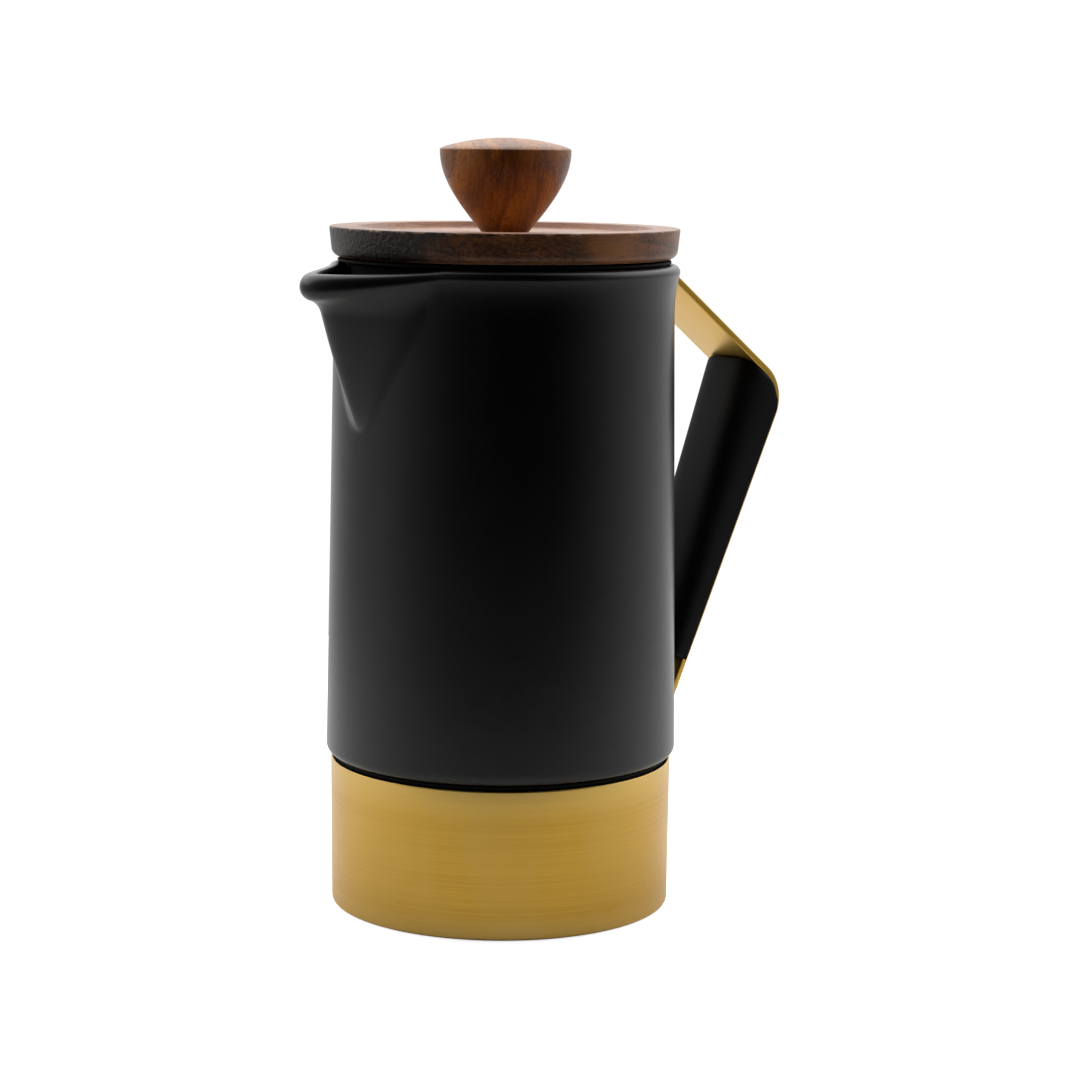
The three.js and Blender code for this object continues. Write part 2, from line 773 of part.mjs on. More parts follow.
add('jug_body', jugBody(), 'ceramic');
add('base_cup', baseCup(), 'gold');
add('seat_ring', seatRing(), 'silicone');
add('base_cushion', baseCushion(), 'silicone');
add('foot_pad', footPad(), 'silicone');

add('handle_strap', handleStrap(), 'gold');
add('handle_grip', handleGrip(), 'grip');
add('handle_pad_upper', jugPad(), 'silicone');
add('handle_pad_lower', basePad(), 'silicone');
['upper', 'lower'].forEach((place, i) => {
  add(`grip_screw_${place}`, gripScrew(GRIP.screwAt[i]), 'gold');
  add(`handle_screw_${place}`, handleScrew(STRAP.screwZ[i]), 'steel');
  add(`handle_insert_${place}`, handleInsert(STRAP.screwZ[i]), 'brass');
  add(`base_rivet_${place}`, baseRivet(STRAP.rivetZ[i]), 'gold');
});

add('lid_gasket', lidGasket(), 'silicone');
add('lid_disc', lidDisc(), 'wood');
add('lid_collar', lidCollar(), 'steel');
add('rod_bush', rodBush(), 'steel');
add('bush_nut', bushNut(), 'steel');
collarScrewAngles.forEach((angle, i) => add(`collar_screw_${i + 1}`, collarScrew(angle), 'steel'));

add('plunger_rod', plungerRod(), 'steel');
add('rod_hub', rodHub(), 'steel');
add('spring_plate', springPlate(), 'steel');
add('rim_spring', rimSpring(), 'steel');
add('mesh_screen', meshScreen(), 'steel');
add('cross_plate', crossPlate(), 'steel');
add('filter_nut', filterNut(), 'steel');

add('knob', knobBody(), 'wood');
add('knob_insert', knobInsert(), 'brass');

export default press;
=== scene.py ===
import math

import bmesh
import bpy
import numpy as np
from mathutils import Matrix, Vector


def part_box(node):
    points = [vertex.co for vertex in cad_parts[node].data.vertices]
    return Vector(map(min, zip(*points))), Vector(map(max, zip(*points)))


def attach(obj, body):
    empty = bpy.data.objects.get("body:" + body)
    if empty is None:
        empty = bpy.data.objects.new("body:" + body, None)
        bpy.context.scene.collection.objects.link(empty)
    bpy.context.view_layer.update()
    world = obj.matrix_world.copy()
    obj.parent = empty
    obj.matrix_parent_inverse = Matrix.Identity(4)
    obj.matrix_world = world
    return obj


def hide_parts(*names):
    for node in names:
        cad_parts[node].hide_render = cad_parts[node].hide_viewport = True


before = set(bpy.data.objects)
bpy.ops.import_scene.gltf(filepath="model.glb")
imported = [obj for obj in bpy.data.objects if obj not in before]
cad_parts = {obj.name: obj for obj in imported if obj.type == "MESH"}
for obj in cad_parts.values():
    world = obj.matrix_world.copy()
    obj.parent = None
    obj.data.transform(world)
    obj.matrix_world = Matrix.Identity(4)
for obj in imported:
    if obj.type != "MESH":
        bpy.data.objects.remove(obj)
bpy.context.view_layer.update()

MM = 0.001

# ---- dimensions, in millimetres ------------------------------------------------------------
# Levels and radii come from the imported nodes; what a box can't say is named here.


def levels(node):
    """Lowest and highest z of a node, in millimetres."""
    low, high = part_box(node)
    return low.z / MM, high.z / MM


def outer_radius(node):
    """Radius of a round node on the Z axis, in millimetres."""
    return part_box(node)[1].y / MM


JUG_FOOT_Z, JUG_TOP_Z = levels("jug_body")
JUG_LOWER_R = outer_radius("jug_body")
JUG_LOWER_Z = 45.7
JUG_UPPER_R = JUG_LOWER_R - 2.1
JUG_UPPER_Z = 174
JUG_SHOULDER_Z = 43.4
JUG_SHOULDER_CORNER = 2.3
JUG_FOOT_R = 46.3
JUG_FOOT_CORNER = 14
BORE_R = 43.5
FLOOR_Z = 12
FLOOR_CORNER = 12
RIM_BEAD = (47.2, JUG_TOP_Z - 2.1, 2.1)  # radius and height of its middle, and its own radius
RIM_FLAT = 1.2
FLARE_Z = 168.5
TIP_BEAD = (62.3, JUG_TOP_Z - 5.5, 3.7)
SPOUT_START_Z = 137.5
SPOUT_UNDER_BEAD_Z = 170
SPOUT_SLOPE = 0.4365  # keel: reach = slope * h - curve * h * h, h above the spout's start
SPOUT_CURVE = 0.0026
SPOUT_START_HALF_ANGLE = 6
SPOUT_HALF_ANGLE_PER_MM = 0.75
SPOUT_HALF_ANGLE = 35
SPOUT_KEEL_ROUNDING = 0.15
SPOUT_FLANK_POWER = 1.8
SPOUT_DIP_POWER = 0.55

BASE_EDGE_Z, BASE_TOP_Z = levels("base_cup")
BASE_BOTTOM_Z = BASE_EDGE_Z + 0.48
FOOT_PAD_R = 44.4
BASE_TOP_R = outer_radius("base_cup")
BASE_BOTTOM_R = BASE_TOP_R - 0.3
BASE_WALL = 0.9

STRAP_WIDTH = 22.6
STRAP_THICKNESS = 2
STRAP_CORNER = Vector((96.25, 144.5))
STRAP_TAB_BEND = 2.4
STRAP_CORNER_BEND = 12
STRAP_FOOT_BEND = 5
UPPER_ANGLE = math.radians(38.5)
LOWER_ANGLE = math.radians(24.6)
UPPER_RUN = Vector((math.cos(UPPER_ANGLE), -math.sin(UPPER_ANGLE)))
LOWER_RUN = Vector((-math.sin(LOWER_ANGLE), -math.cos(LOWER_ANGLE)))
LOWER_OUT = Vector((math.cos(LOWER_ANGLE), -math.sin(LOWER_ANGLE)))
UPPER_OUT = Vector((math.sin(UPPER_ANGLE), math.cos(UPPER_ANGLE)))
UPPER_TAB_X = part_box("handle_strap")[0].x / MM
LOWER_TAB_X = 52.4
LOWER_TAB_END_Z = levels("handle_strap")[0]
UPPER_TAB_END_Z = 150
SCREW_Z = [sum(levels(f"handle_screw_{place}")) / 2 for place in ("upper", "lower")]
RIVET_Z = [sum(levels(f"base_rivet_{place}")) / 2 for place in ("upper", "lower")]
GRIP_SCREW_AT = [20, 60]  # distances down the lower run from the strap's corner
GRIP_START, GRIP_END = -6, 88
GRIP_HALF_WIDTH = 12.1
GRIP_DEPTH, GRIP_END_DEPTH = 15.5, 5.4
GRIP_SIDE_DEPTH = 1
GRIP_SQUARENESS = 4
GRIP_REVEAL, GRIP_TOP_REVEAL = 1, 2.3
INSERT_X = 44.9
PAD_HALF_WIDTH = 10.8

LID_BOTTOM_Z, LID_TOP_Z = levels("lid_disc")
LID_R = outer_radius("lid_disc")
RECESS_R = 40
RECESS_Z = LID_TOP_Z - 1.7
KNOB_BOTTOM_Z, KNOB_TOP_Z = levels("knob")
KNOB_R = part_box("knob")[1].x / MM
KNOB_RIM_Z = KNOB_TOP_Z - 2.9
KNOB_FOOT_R = 6.7
KNOB_DOME_R = 60.3
COLLAR_R = outer_radius("lid_collar")
COLLAR_BOTTOM_Z = levels("lid_collar")[0]
COLLAR_SCREW_CIRCLE = 35.5
ROD_BOTTOM_Z, ROD_TOP_Z = levels("plunger_rod")
ROD_R = 2.5
ROD_HOLE_R = 2.7

OUTWARDS = (1, 0, 0)  # from the jug towards the handle


# ---- mesh helpers --------------------------------------------------------------------------
def arc(x, y, radius, start, end, steps):
    """Points of a circular arc in an outline; angles in degrees."""
    turns = [math.radians(start + (end - start) * i / steps) for i in range(steps + 1)]
    return [(x + radius * math.cos(a), y + radius * math.sin(a)) for a in turns]


def rounded(corners, closed=False, step=8):
    """A path through corners (x, y) or (x, y, radius), with each radius as an arc."""
    points = []
    count = len(corners)
    for i, corner in enumerate(corners):
        here = Vector(corner[:2])
        ends = not closed and i in (0, count - 1)
        if ends or len(corner) < 3 or corner[2] <= 0:
            points.append(tuple(here))
            continue
        into = (here - Vector(corners[i - 1][:2])).normalized()
        out = (Vector(corners[(i + 1) % count][:2]) - here).normalized()
        turn = math.atan2(into.x * out.y - into.y * out.x, into.dot(out))
        start = here - into * corner[2] * math.tan(abs(turn) / 2)
        normal = Vector((-into.y, into.x)) * math.copysign(corner[2], turn)
        centre = start + normal
        steps = max(2, round(abs(math.degrees(turn)) / step))
        for k in range(steps + 1):
            spoke = Matrix.Rotation(turn * k / steps, 2) @ -normal
            points.append(tuple(centre + spoke))
    return points


def new_object(name, verts, faces):
    """A linked mesh object from vertices in millimetres in the shared frame."""
    mesh = bpy.data.meshes.new(name)
    mesh.from_pydata([tuple(c * MM for c in v) for v in verts], [], faces)
    made = bpy.data.objects.new(name, mesh)
    bpy.context.scene.collection.objects.link(made)
    return made


def face_outwards(mesh):
    shape = bmesh.new()
    shape.from_mesh(mesh)
    bmesh.ops.recalc_face_normals(shape, faces=shape.faces)
    shape.to_mesh(mesh)
    shape.free()


def new_piece(name, node, verts, faces, material, body, sharp=32, uvs=None):
    """A smooth-shaded piece that replaces a CAD node and rides on a body."""
    piece = new_object(name, verts, faces)
    mesh = piece.data
    if uvs is not None:
        layer = mesh.uv_layers.new(name="along")
        flat = [c for face in faces for i in face for c in uvs[i]]
        layer.data.foreach_set("uv", flat)
    face_outwards(mesh)
    mesh.polygons.foreach_set("use_smooth", [True] * len(mesh.polygons))
    mesh.set_sharp_from_angle(angle=math.radians(sharp))
    mesh.materials.append(material)
    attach(piece, body)
    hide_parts(node)
    return piece


def revolve(outline, sides, closed=False):
    """Vertices and faces of a body of revolution about Z from (radius, z) points."""
    verts, rings = [], []
    for r, z in outline:
        if r < 1e-6:
            rings.append([len(verts)] * sides)
            verts.append((0, 0, z))
            continue
        rings.append(list(range(len(verts), len(verts) + sides)))
        for k in range(sides):
            a = 2 * math.pi * k / sides
            verts.append((r * math.cos(a), r * math.sin(a), z))
    faces = []
    pairs = list(zip(rings, rings[1:] + rings[:1] if closed else rings[1:]))
    for low, high in pairs:
        for k in range(sides):
            n = (k + 1) % sides
            quad = [low[k], low[n], high[n], high[k]]
            face = [v for j, v in enumerate(quad) if v not in quad[:j]]
            if len(face) > 2:
                faces.append(face)
    return verts, faces


def tube_faces(rings, count):
    """Faces of a closed tube through rings of count vertices each, with both ends filled."""
    faces = []
    for i in range(rings - 1):
        for k in range(count):
            a, b = i * count + k, i * count + (k + 1) % count
            faces.append([a, b, b + count, a + count])
    last = (rings - 1) * count
    return faces + [list(range(count)), list(range(last, last + count))]


def moved(verts, matrix):
    return [tuple(matrix @ Vector(v)) for v in verts]


def placed(solid, matrix):
    """A (vertices, faces) solid, moved."""
    verts, faces = solid
    return moved(verts, matrix), faces


def aim(at, direction):
    """The placement of a piece made along +Z, so that it lies along a direction at a point."""
    turn = Vector((0, 0, 1)).rotation_difference(Vector(direction)).to_matrix().to_4x4()
    return Matrix.Translation(Vector(at)) @ turn


def level_holes(radius, start, end, x, heights):
    """Tools for holes along +X, from start to end measured from x, one at each height."""
    return [placed(cylinder(radius, start, end), aim((x, 0, z), OUTWARDS)) for z in heights]


def ring_places(count, radius, start=0):
    """Placements evenly round the Z axis, from an angle in degrees."""
    turns = [math.radians(start + 360 * k / count) for k in range(count)]
    return [Matrix.Translation((radius * math.cos(a), radius * math.sin(a), 0)) for a in turns]


def turned(name, node, outline, material, body, sides=160, closed=False, place=None):
    """A piece turned about Z from an outline, then put in place."""
    verts, faces = revolve(outline, sides, closed)
    if place is not None:
        verts = moved(verts, place)
    return new_piece(name, node, verts, faces, material, body)


def cylinder(radius, z0, z1, sides=32):
    return revolve([(0, z0), (radius, z0), (radius, z1), (0, z1)], sides)


def prism(outline, z0, z1):
    """A straight prism from an outline in XY."""
    n = len(outline)
    verts = [(x, y, z0) for x, y in outline] + [(x, y, z1) for x, y in outline]
    faces = [list(range(n))[::-1], list(range(n, 2 * n))]
    faces += [[i, (i + 1) % n, n + (i + 1) % n, n + i] for i in range(n)]
    return verts, faces


def cut_away(piece, tools):
    """Cuts a list of (vertices, faces) solids out of a piece."""
    verts, faces = [], []
    for tool_verts, tool_faces in tools:
        first = len(verts)
        verts += tool_verts
        faces += [[first + i for i in face] for face in tool_faces]
    tool = new_object("tool", verts, faces)
    face_outwards(tool.data)
    cut = piece.modifiers.new("cut", "BOOLEAN")
    cut.operation = "DIFFERENCE"
    cut.solver = "EXACT"
    cut.object = tool
    apply_modifiers(piece)
    bpy.data.objects.remove(tool)
    piece.data.set_sharp_from_angle(angle=math.radians(32))


def apply_modifiers(piece):
    bpy.context.view_layer.update()
    graph = bpy.context.evaluated_depsgraph_get()
    baked = bpy.data.meshes.new_from_object(piece.evaluated_get(graph))
    piece.modifiers.clear()
    piece.data = baked


# ---- node helpers --------------------------------------------------------------------------
class Tree:
    """Shorthand for building the nodes of a material or a world."""

    def __init__(self, owner):
        owner.use_nodes = True
        self.owner = owner
        self.nodes = owner.node_tree.nodes
        self.links = owner.node_tree.links
        self.shader = self.nodes.get("Principled BSDF")

    def add(self, kind, inputs=(), **settings):
        made = self.nodes.new(kind)
        for key, value in settings.items():
            setattr(made, key, value)
        for key, value in dict(inputs).items():
            self.put(made.inputs[key], value)
        return made

    def put(self, socket, value):
        if isinstance(value, bpy.types.NodeSocket):
            self.links.new(value, socket)
        else:
            socket.default_value = value

    def math(self, operation, *values):
        return self.add("ShaderNodeMath", dict(enumerate(values)), operation=operation).outputs[0]

    def times(self, a, b):
        return self.math("MULTIPLY", a, b)

    def place(self, scale=(1, 1, 1), turn=(0, 0, 0), shift=(0, 0, 0), source="Object"):
        """Object coordinates in millimetres, turned and then scaled per axis."""
        where = self.add("ShaderNodeTexCoord").outputs[source]
        unit = 1 if source == "UV" else 1 / MM
        turned_first = self.add(
            "ShaderNodeMapping",
            {"Vector": where, "Rotation": [math.radians(a) for a in turn], "Scale": (unit,) * 3},
        ).outputs[0]
        return self.add(
            "ShaderNodeMapping",
            {"Vector": turned_first, "Scale": scale, "Location": shift},
        ).outputs[0]

    def noise(self, vector, detail=3.0, roughness=0.5):
        sockets = {"Vector": vector, "Scale": 1.0, "Detail": detail, "Roughness": roughness}
        return self.add("ShaderNodeTexNoise", sockets).outputs["Fac"]

    def spread(self, value, low, high, to_low=0.0, to_high=1.0):
        sockets = {0: value, 1: low, 2: high, 3: to_low, 4: to_high}
        return self.add("ShaderNodeMapRange", sockets).outputs[0]

    def ramp(self, value, *stops):
        made = self.add("ShaderNodeValToRGB", {0: value})
        elements = made.color_ramp.elements
        while len(elements) < len(stops):
            elements.new(0.5)
        for element, (position, colour) in zip(elements, stops):
            element.position = position
            element.color = (*colour, 1)
        return made.outputs[0]

    def mix(self, share, first, second, blend="MIX"):
        made = self.add("ShaderNodeMix", {0: share}, data_type="RGBA", blend_type=blend)
        for socket, value in ((made.inputs[6], first), (made.inputs[7], second)):
            plain = isinstance(value, bpy.types.NodeSocket) or len(value) == 4
            self.put(socket, value if plain else (*value, 1))
        return made.outputs[2]

    def bump(self, height, strength, distance, normal=None):
        sockets = {"Height": height, "Strength": strength, "Distance": distance * MM}
        if normal is not None:
            sockets["Normal"] = normal
        return self.add("ShaderNodeBump", sockets).outputs[0]

    def split(self, vector):
        return self.add("ShaderNodeSeparateXYZ", {0: vector}).outputs

    def surface(self, **values):
        for key, value in values.items():
            self.put(self.shader.inputs[key.replace("_", " ")], value)
        return self.owner

    def brush_around(self, amount):
        """Stretches the highlights as brushing round the Z axis does."""
        tangent = self.add("ShaderNodeTangent", direction_type="RADIAL", axis="Z").outputs[0]
        self.surface(Anisotropic=amount, Tangent=tangent)


def new_material(name):
    return Tree(bpy.data.materials.new(name))


# ---- materials -----------------------------------------------------------------------------
def ceramic_material():
    tree = new_material("black_satin_glaze")
    wave = tree.noise(tree.place((0.03, 0.03, 0.045)), detail=2)
    orange_peel = tree.noise(tree.place((1.1, 1.1, 1.1)), detail=3, roughness=0.55)
    cloud = tree.noise(tree.place((0.02, 0.02, 0.02)), detail=4)
    colour = tree.ramp(cloud, (0.35, (0.0022, 0.0026, 0.0024)), (0.7, (0.0034, 0.0038, 0.0036)))
    rough = tree.spread(cloud, 0.3, 0.7, 0.25, 0.31)
    normal = tree.bump(wave, 0.12, 1.0)
    normal = tree.bump(orange_peel, 0.18, 0.05, normal)
    return tree.surface(Base_Color=colour, Roughness=rough, Normal=normal, IOR=1.5)


def gold_material(name, streak_scale, around=False, source="Object"):
    """Brushed steel with a gold-coloured coating; streaks run where the scale is small."""
    tree = new_material(name)
    fine = tree.noise(tree.place(streak_scale, source=source), detail=4, roughness=0.7)
    coarse_scale = tuple(s * 0.22 for s in streak_scale)
    coarse = tree.noise(tree.place(coarse_scale, source=source, shift=(3, 1, 2)), detail=3)
    cloud = tree.noise(tree.place((0.05, 0.05, 0.016)), detail=3)
    tone = tree.ramp(coarse, (0.3, (0.65, 0.358, 0.036)), (0.7, (0.755, 0.44, 0.055)))
    scratch = tree.spread(fine, 0.56, 0.7, 0.0, 0.22)
    tone = tree.mix(scratch, tone, (0.50, 0.26, 0.018))
    wear = tree.spread(cloud, 0.4, 0.62, 0.0, 0.5)
    colour = tree.mix(wear, tone, (0.74, 0.475, 0.095))
    if around:  # the base cup: its top and bottom edges are painted paler, a painted highlight of bright surroundings reflected there
        height = tree.split(tree.place())[2]
        top_painted_highlight = tree.spread(height, BASE_TOP_Z - 9, BASE_TOP_Z, 0.0, 0.55)
        bottom_painted_highlight = tree.spread(height, 7, 0, 0.0, 0.55)
        edge_painted_highlight = tree.math("ADD", top_painted_highlight, bottom_painted_highlight)
        colour = tree.mix(edge_painted_highlight, colour, (0.95, 0.66, 0.2))
        tree.brush_around(0.7)
    grain = tree.math("MULTIPLY_ADD", fine, 0.3, tree.times(cloud, 0.7))
    rough = tree.spread(grain, 0.3, 0.7, 0.28, 0.38)
    normal = tree.bump(fine, 0.1, 0.02)
    tree.surface(Base_Color=colour, Metallic=1.0, Roughness=rough, Normal=normal)
    return tree.surface(Coat_Weight=0.5, Coat_Roughness=0.25)


def wood_material(name, turn, pith, tones, ring_width, pores, upright, contrast):
    """Dark open-pored hardwood. The grain runs along the turned X axis, and the growth rings
    are centred on pith, a (y, z) place in turned millimetres. Upright is how fast the fibres
    vary along Z. Gives the tree, the base colour and the field of light and dark patches."""
    tree = new_material(name)
    deep, middle, light = tones
    warp = tree.noise(tree.place((0.012, 0.05, 0.05), turn), detail=3)
    parts = tree.split(tree.place((0.001, 1, 1), turn, shift=(0, -pith[0], -pith[1])))
    squares = [tree.times(parts[i], parts[i]) for i in (1, 2)]
    from_pith = tree.math("SQRT", tree.math("ADD", *squares))
    bent = tree.math("MULTIPLY_ADD", warp, 6.0, from_pith)
    ring = tree.math("FRACT", tree.math("DIVIDE", bent, ring_width))
    late = tree.times(tree.spread(ring, 0.25, 0.9), tree.spread(ring, 1.0, 0.93))
    patch = tree.noise(tree.place((0.016, 0.07, 0.07), turn, shift=(9, 4, 2)), detail=4)
    fibre = tree.noise(tree.place((0.045, 1.5, upright), turn), detail=4, roughness=0.65)
    base = tree.ramp(patch, (0.36, deep), (0.5, middle), (0.66, light))
    base = tree.mix(tree.times(late, 0.75 * contrast), base, deep)
    streak = tree.spread(fibre, 0.42, 0.72)
    base = tree.mix(tree.times(streak, 0.45 * contrast), base, light)
    shade = tree.spread(fibre, 0.5, 0.3)
    base = tree.mix(tree.times(shade, 0.55 * contrast), base, deep)
    pore_field = tree.noise(tree.place((0.16, 2.4, 2.4), turn, shift=(2, 8, 1)), detail=2)
    pore = tree.spread(pore_field, 0.6, 0.66)
    base = tree.mix(tree.times(pore, pores), base, (0.006, 0.003, 0.002))
    normal = tree.bump(fibre, 0.4, 0.16)
    normal.node.name = "fibre bump"
    normal = tree.bump(tree.times(pore, -1.0), 0.9, 0.25, normal)
    tree.surface(Normal=normal, Roughness=tree.spread(fibre, 0.3, 0.7, 0.3, 0.42))
    return tree, base, patch


def lid_wood_material():
    """The board is dark towards the spout and has a lighter stretch nearer the handle. Its lower
    edge is painted paler as a painted highlight, its top and the faces inside the outer rim are
    painted pale as painted glare, and its upper edge has a painted highlight broken into chipped
    spots."""
    light = (0.42, 0.150, 0.034)
    tones = ((0.022, 0.008, 0.004), (0.12, 0.037, 0.010), light)
    tree, base, patch = wood_material(
        "lid_wood", (0, 0, 0), (-30, 235), tones,
        ring_width=5.2, pores=0.8, upright=1.5, contrast=1,
    )
    x, y, z = tree.split(tree.place())
    along = tree.math("MULTIPLY_ADD", patch, 40.0, tree.math("SUBTRACT", x, 20.0))
    pale = tree.times(tree.spread(along, -13, -5, 0, 0.6), tree.spread(along, 15, 7))
    base = tree.mix(pale, base, light)
    dark = tree.spread(along, -45, -33, 0.88, 0.0)
    base = tree.mix(dark, base, (0.010, 0.006, 0.004))
    # painted highlight: the lower edge is painted paler, standing in for light reflected up from
    # below
    lower_edge_painted_light = tree.spread(z, LID_BOTTOM_Z + 2.6, LID_BOTTOM_Z + 0.7, 0, 0.45)
    base = tree.mix(tree.times(lower_edge_painted_light, tree.spread(along, -45, 10)), base, light)
    across = tree.math("SQRT", tree.math("MULTIPLY_ADD", x, x, tree.times(y, y)))
    # painted glare: the top and every face more than 2.2 mm inside the edge are painted pale pink
    top = tree.spread(z, LID_TOP_Z - 0.12, LID_TOP_Z - 0.02)
    face = tree.math("MAXIMUM", top, tree.spread(across, LID_R - 1.6, LID_R - 2.2))
    base = tree.mix(tree.times(face, 0.55), base, (0.66, 0.34, 0.21))
    # painted highlight along the upper edge, broken up by noise into chipped spots
    chip_painted_highlight = tree.spread(tree.noise(tree.place((0.35, 0.35, 0.35)), detail=4), 0.5, 0.58)
    above_side = tree.spread(z, LID_TOP_Z - 0.8, LID_TOP_Z - 0.4)
    below_face = tree.spread(z, LID_TOP_Z, LID_TOP_Z - 0.1)
    edge = tree.times(above_side, below_face)
    base = tree.mix(tree.times(chip_painted_highlight, edge), base, (0.36, 0.20, 0.12))
    grit = tree.noise(tree.place((0.7, 0.7, 0.9)), detail=4, roughness=0.6)
    rough_sawn = tree.bump(tree.times(grit, dark), 1.0, 0.9)
    tree.put(tree.nodes["fibre bump"].inputs["Normal"], rough_sawn)
    tree.surface(Specular_IOR_Level=0.4)
    return tree.surface(Base_Color=base)


def knob_wood_material():
    tones = ((0.19, 0.052, 0.003), (0.50, 0.158, 0.008), (0.68, 0.27, 0.035))
    tree, base, _ = wood_material(
        "knob_wood", (0, 0, -64), (160, 235), tones,
        ring_width=8.3, pores=0.7, upright=0.16, contrast=0.9,
    )
    return tree.surface(Base_Color=base)


def grip_material():
    tree = new_material("matte_black_grip")
    grain = tree.noise(tree.place((3, 3, 3)), detail=3)
    cloud = tree.noise(tree.place((0.05, 0.05, 0.05)), detail=3)
    colour = tree.ramp(cloud, (0.3, (0.0042, 0.0045, 0.0047)), (0.7, (0.0070, 0.0073, 0.0074)))
    rough = tree.spread(cloud, 0.3, 0.7, 0.46, 0.56)
    normal = tree.bump(grain, 0.25, 0.03)
    tree.surface(Specular_IOR_Level=0.11)
    return tree.surface(Base_Color=colour, Roughness=rough, Normal=normal)


def silicone_material():
    tree = new_material("black_silicone")
    grain = tree.noise(tree.place((5, 5, 5)), detail=2)
    colour = tree.ramp(grain, (0.3, (0.0015, 0.0015, 0.0016)), (0.7, (0.003, 0.003, 0.0033)))
    normal = tree.bump(grain, 0.3, 0.02)
    tree.surface(Specular_IOR_Level=0.15)
    return tree.surface(Base_Color=colour, Roughness=0.7, Normal=normal)


def steel_material(name, scale, rough=(0.2, 0.34), around=False):
    tree = new_material(name)
    streak = tree.noise(tree.place(scale), detail=4, roughness=0.7)
    colour = tree.ramp(streak, (0.3, (0.50, 0.50, 0.495)), (0.7, (0.64, 0.64, 0.63)))
    roughness = tree.spread(streak, 0.25, 0.75, *rough)
    normal = tree.bump(streak, 0.15, 0.02)
    tree.surface(Base_Color=colour, Metallic=1.0, Roughness=roughness, Normal=normal)
    if around:
        tree.brush_around(0.5)
    return tree.owner


def woven_material():
    """Fine woven wire: over-and-under threads as bump, with painted shade darkening the gaps
    between them.
    """
    tree = new_material("woven_wire")
    pitch = 0.55
    parts = tree.split(tree.place((2 * math.pi / pitch,) * 3))
    warp = tree.math("ABSOLUTE", tree.math("SINE", tree.math("DIVIDE", parts[0], 2)))
    weft = tree.math("ABSOLUTE", tree.math("SINE", tree.math("DIVIDE", parts[1], 2)))
    height = tree.math("MAXIMUM", warp, weft)
    # painted shade: the low gaps between the threads are coloured near black
    colour = tree.ramp(height, (0.45, (0.03, 0.03, 0.03)), (0.85, (0.55, 0.55, 0.54)))
    normal = tree.bump(height, 0.8, 0.12)
    return tree.surface(Base_Color=colour, Metallic=1.0, Roughness=0.34, Normal=normal)


def brass_material():
    tree = new_material("turned_brass")
    streak = tree.noise(tree.place((0.5, 0.5, 9)), detail=3)
    colour = tree.ramp(streak, (0.3, (0.50, 0.34, 0.12)), (0.7, (0.66, 0.47, 0.19)))
    rough = tree.spread(streak, 0.3, 0.7, 0.25, 0.4)
    return tree.surface(Base_Color=colour, Metallic=1.0, Roughness=rough)


CERAMIC = ceramic_material()
GOLD_AROUND = gold_material("gold_brushed_around", (0.05, 0.05, 14), around=True)
GOLD_ALONG = gold_material("gold_brushed_along", (0.02, 9, 1), source="UV")
GOLD_SMALL = gold_material("gold_small_parts", (2, 2, 2))
LID_WOOD = lid_wood_material()
KNOB_WOOD = knob_wood_material()
GRIP = grip_material()
SILICONE = silicone_material()
STEEL = steel_material("satin_steel", (0.3, 0.3, 6), around=True)
STEEL_SMALL = steel_material("small_steel_parts", (3, 3, 3))
WOVEN = woven_material()
BRASS = brass_material()


# ---- jug and base --------------------------------------------------------------------------
def spout_share(angle, half_angle):
    """How far the spout stands out at an angle from its middle: 1 in the middle, 0 beyond."""
    t = min(1.0, abs(angle) / half_angle)
    round_off = SPOUT_KEEL_ROUNDING
    soft = (math.hypot(t, round_off) - round_off) / (math.hypot(1, round_off) - round_off)
    return (1 - soft) ** SPOUT_FLANK_POWER


def keel_reach(z, angle):
    """How far the spout stands out of the jug's wall at a height."""
    h = z - SPOUT_START_Z
    if h <= 0:
        return 0.0
    half = min(SPOUT_HALF_ANGLE, SPOUT_START_HALF_ANGLE + SPOUT_HALF_ANGLE_PER_MM * h)
    return (SPOUT_SLOPE * h - SPOUT_CURVE * h * h) * spout_share(angle, half)


def jug_wall_radius(z):
    t = (z - JUG_LOWER_Z) / (JUG_UPPER_Z - JUG_LOWER_Z)
    return JUG_LOWER_R + (JUG_UPPER_R - JUG_LOWER_R) * t


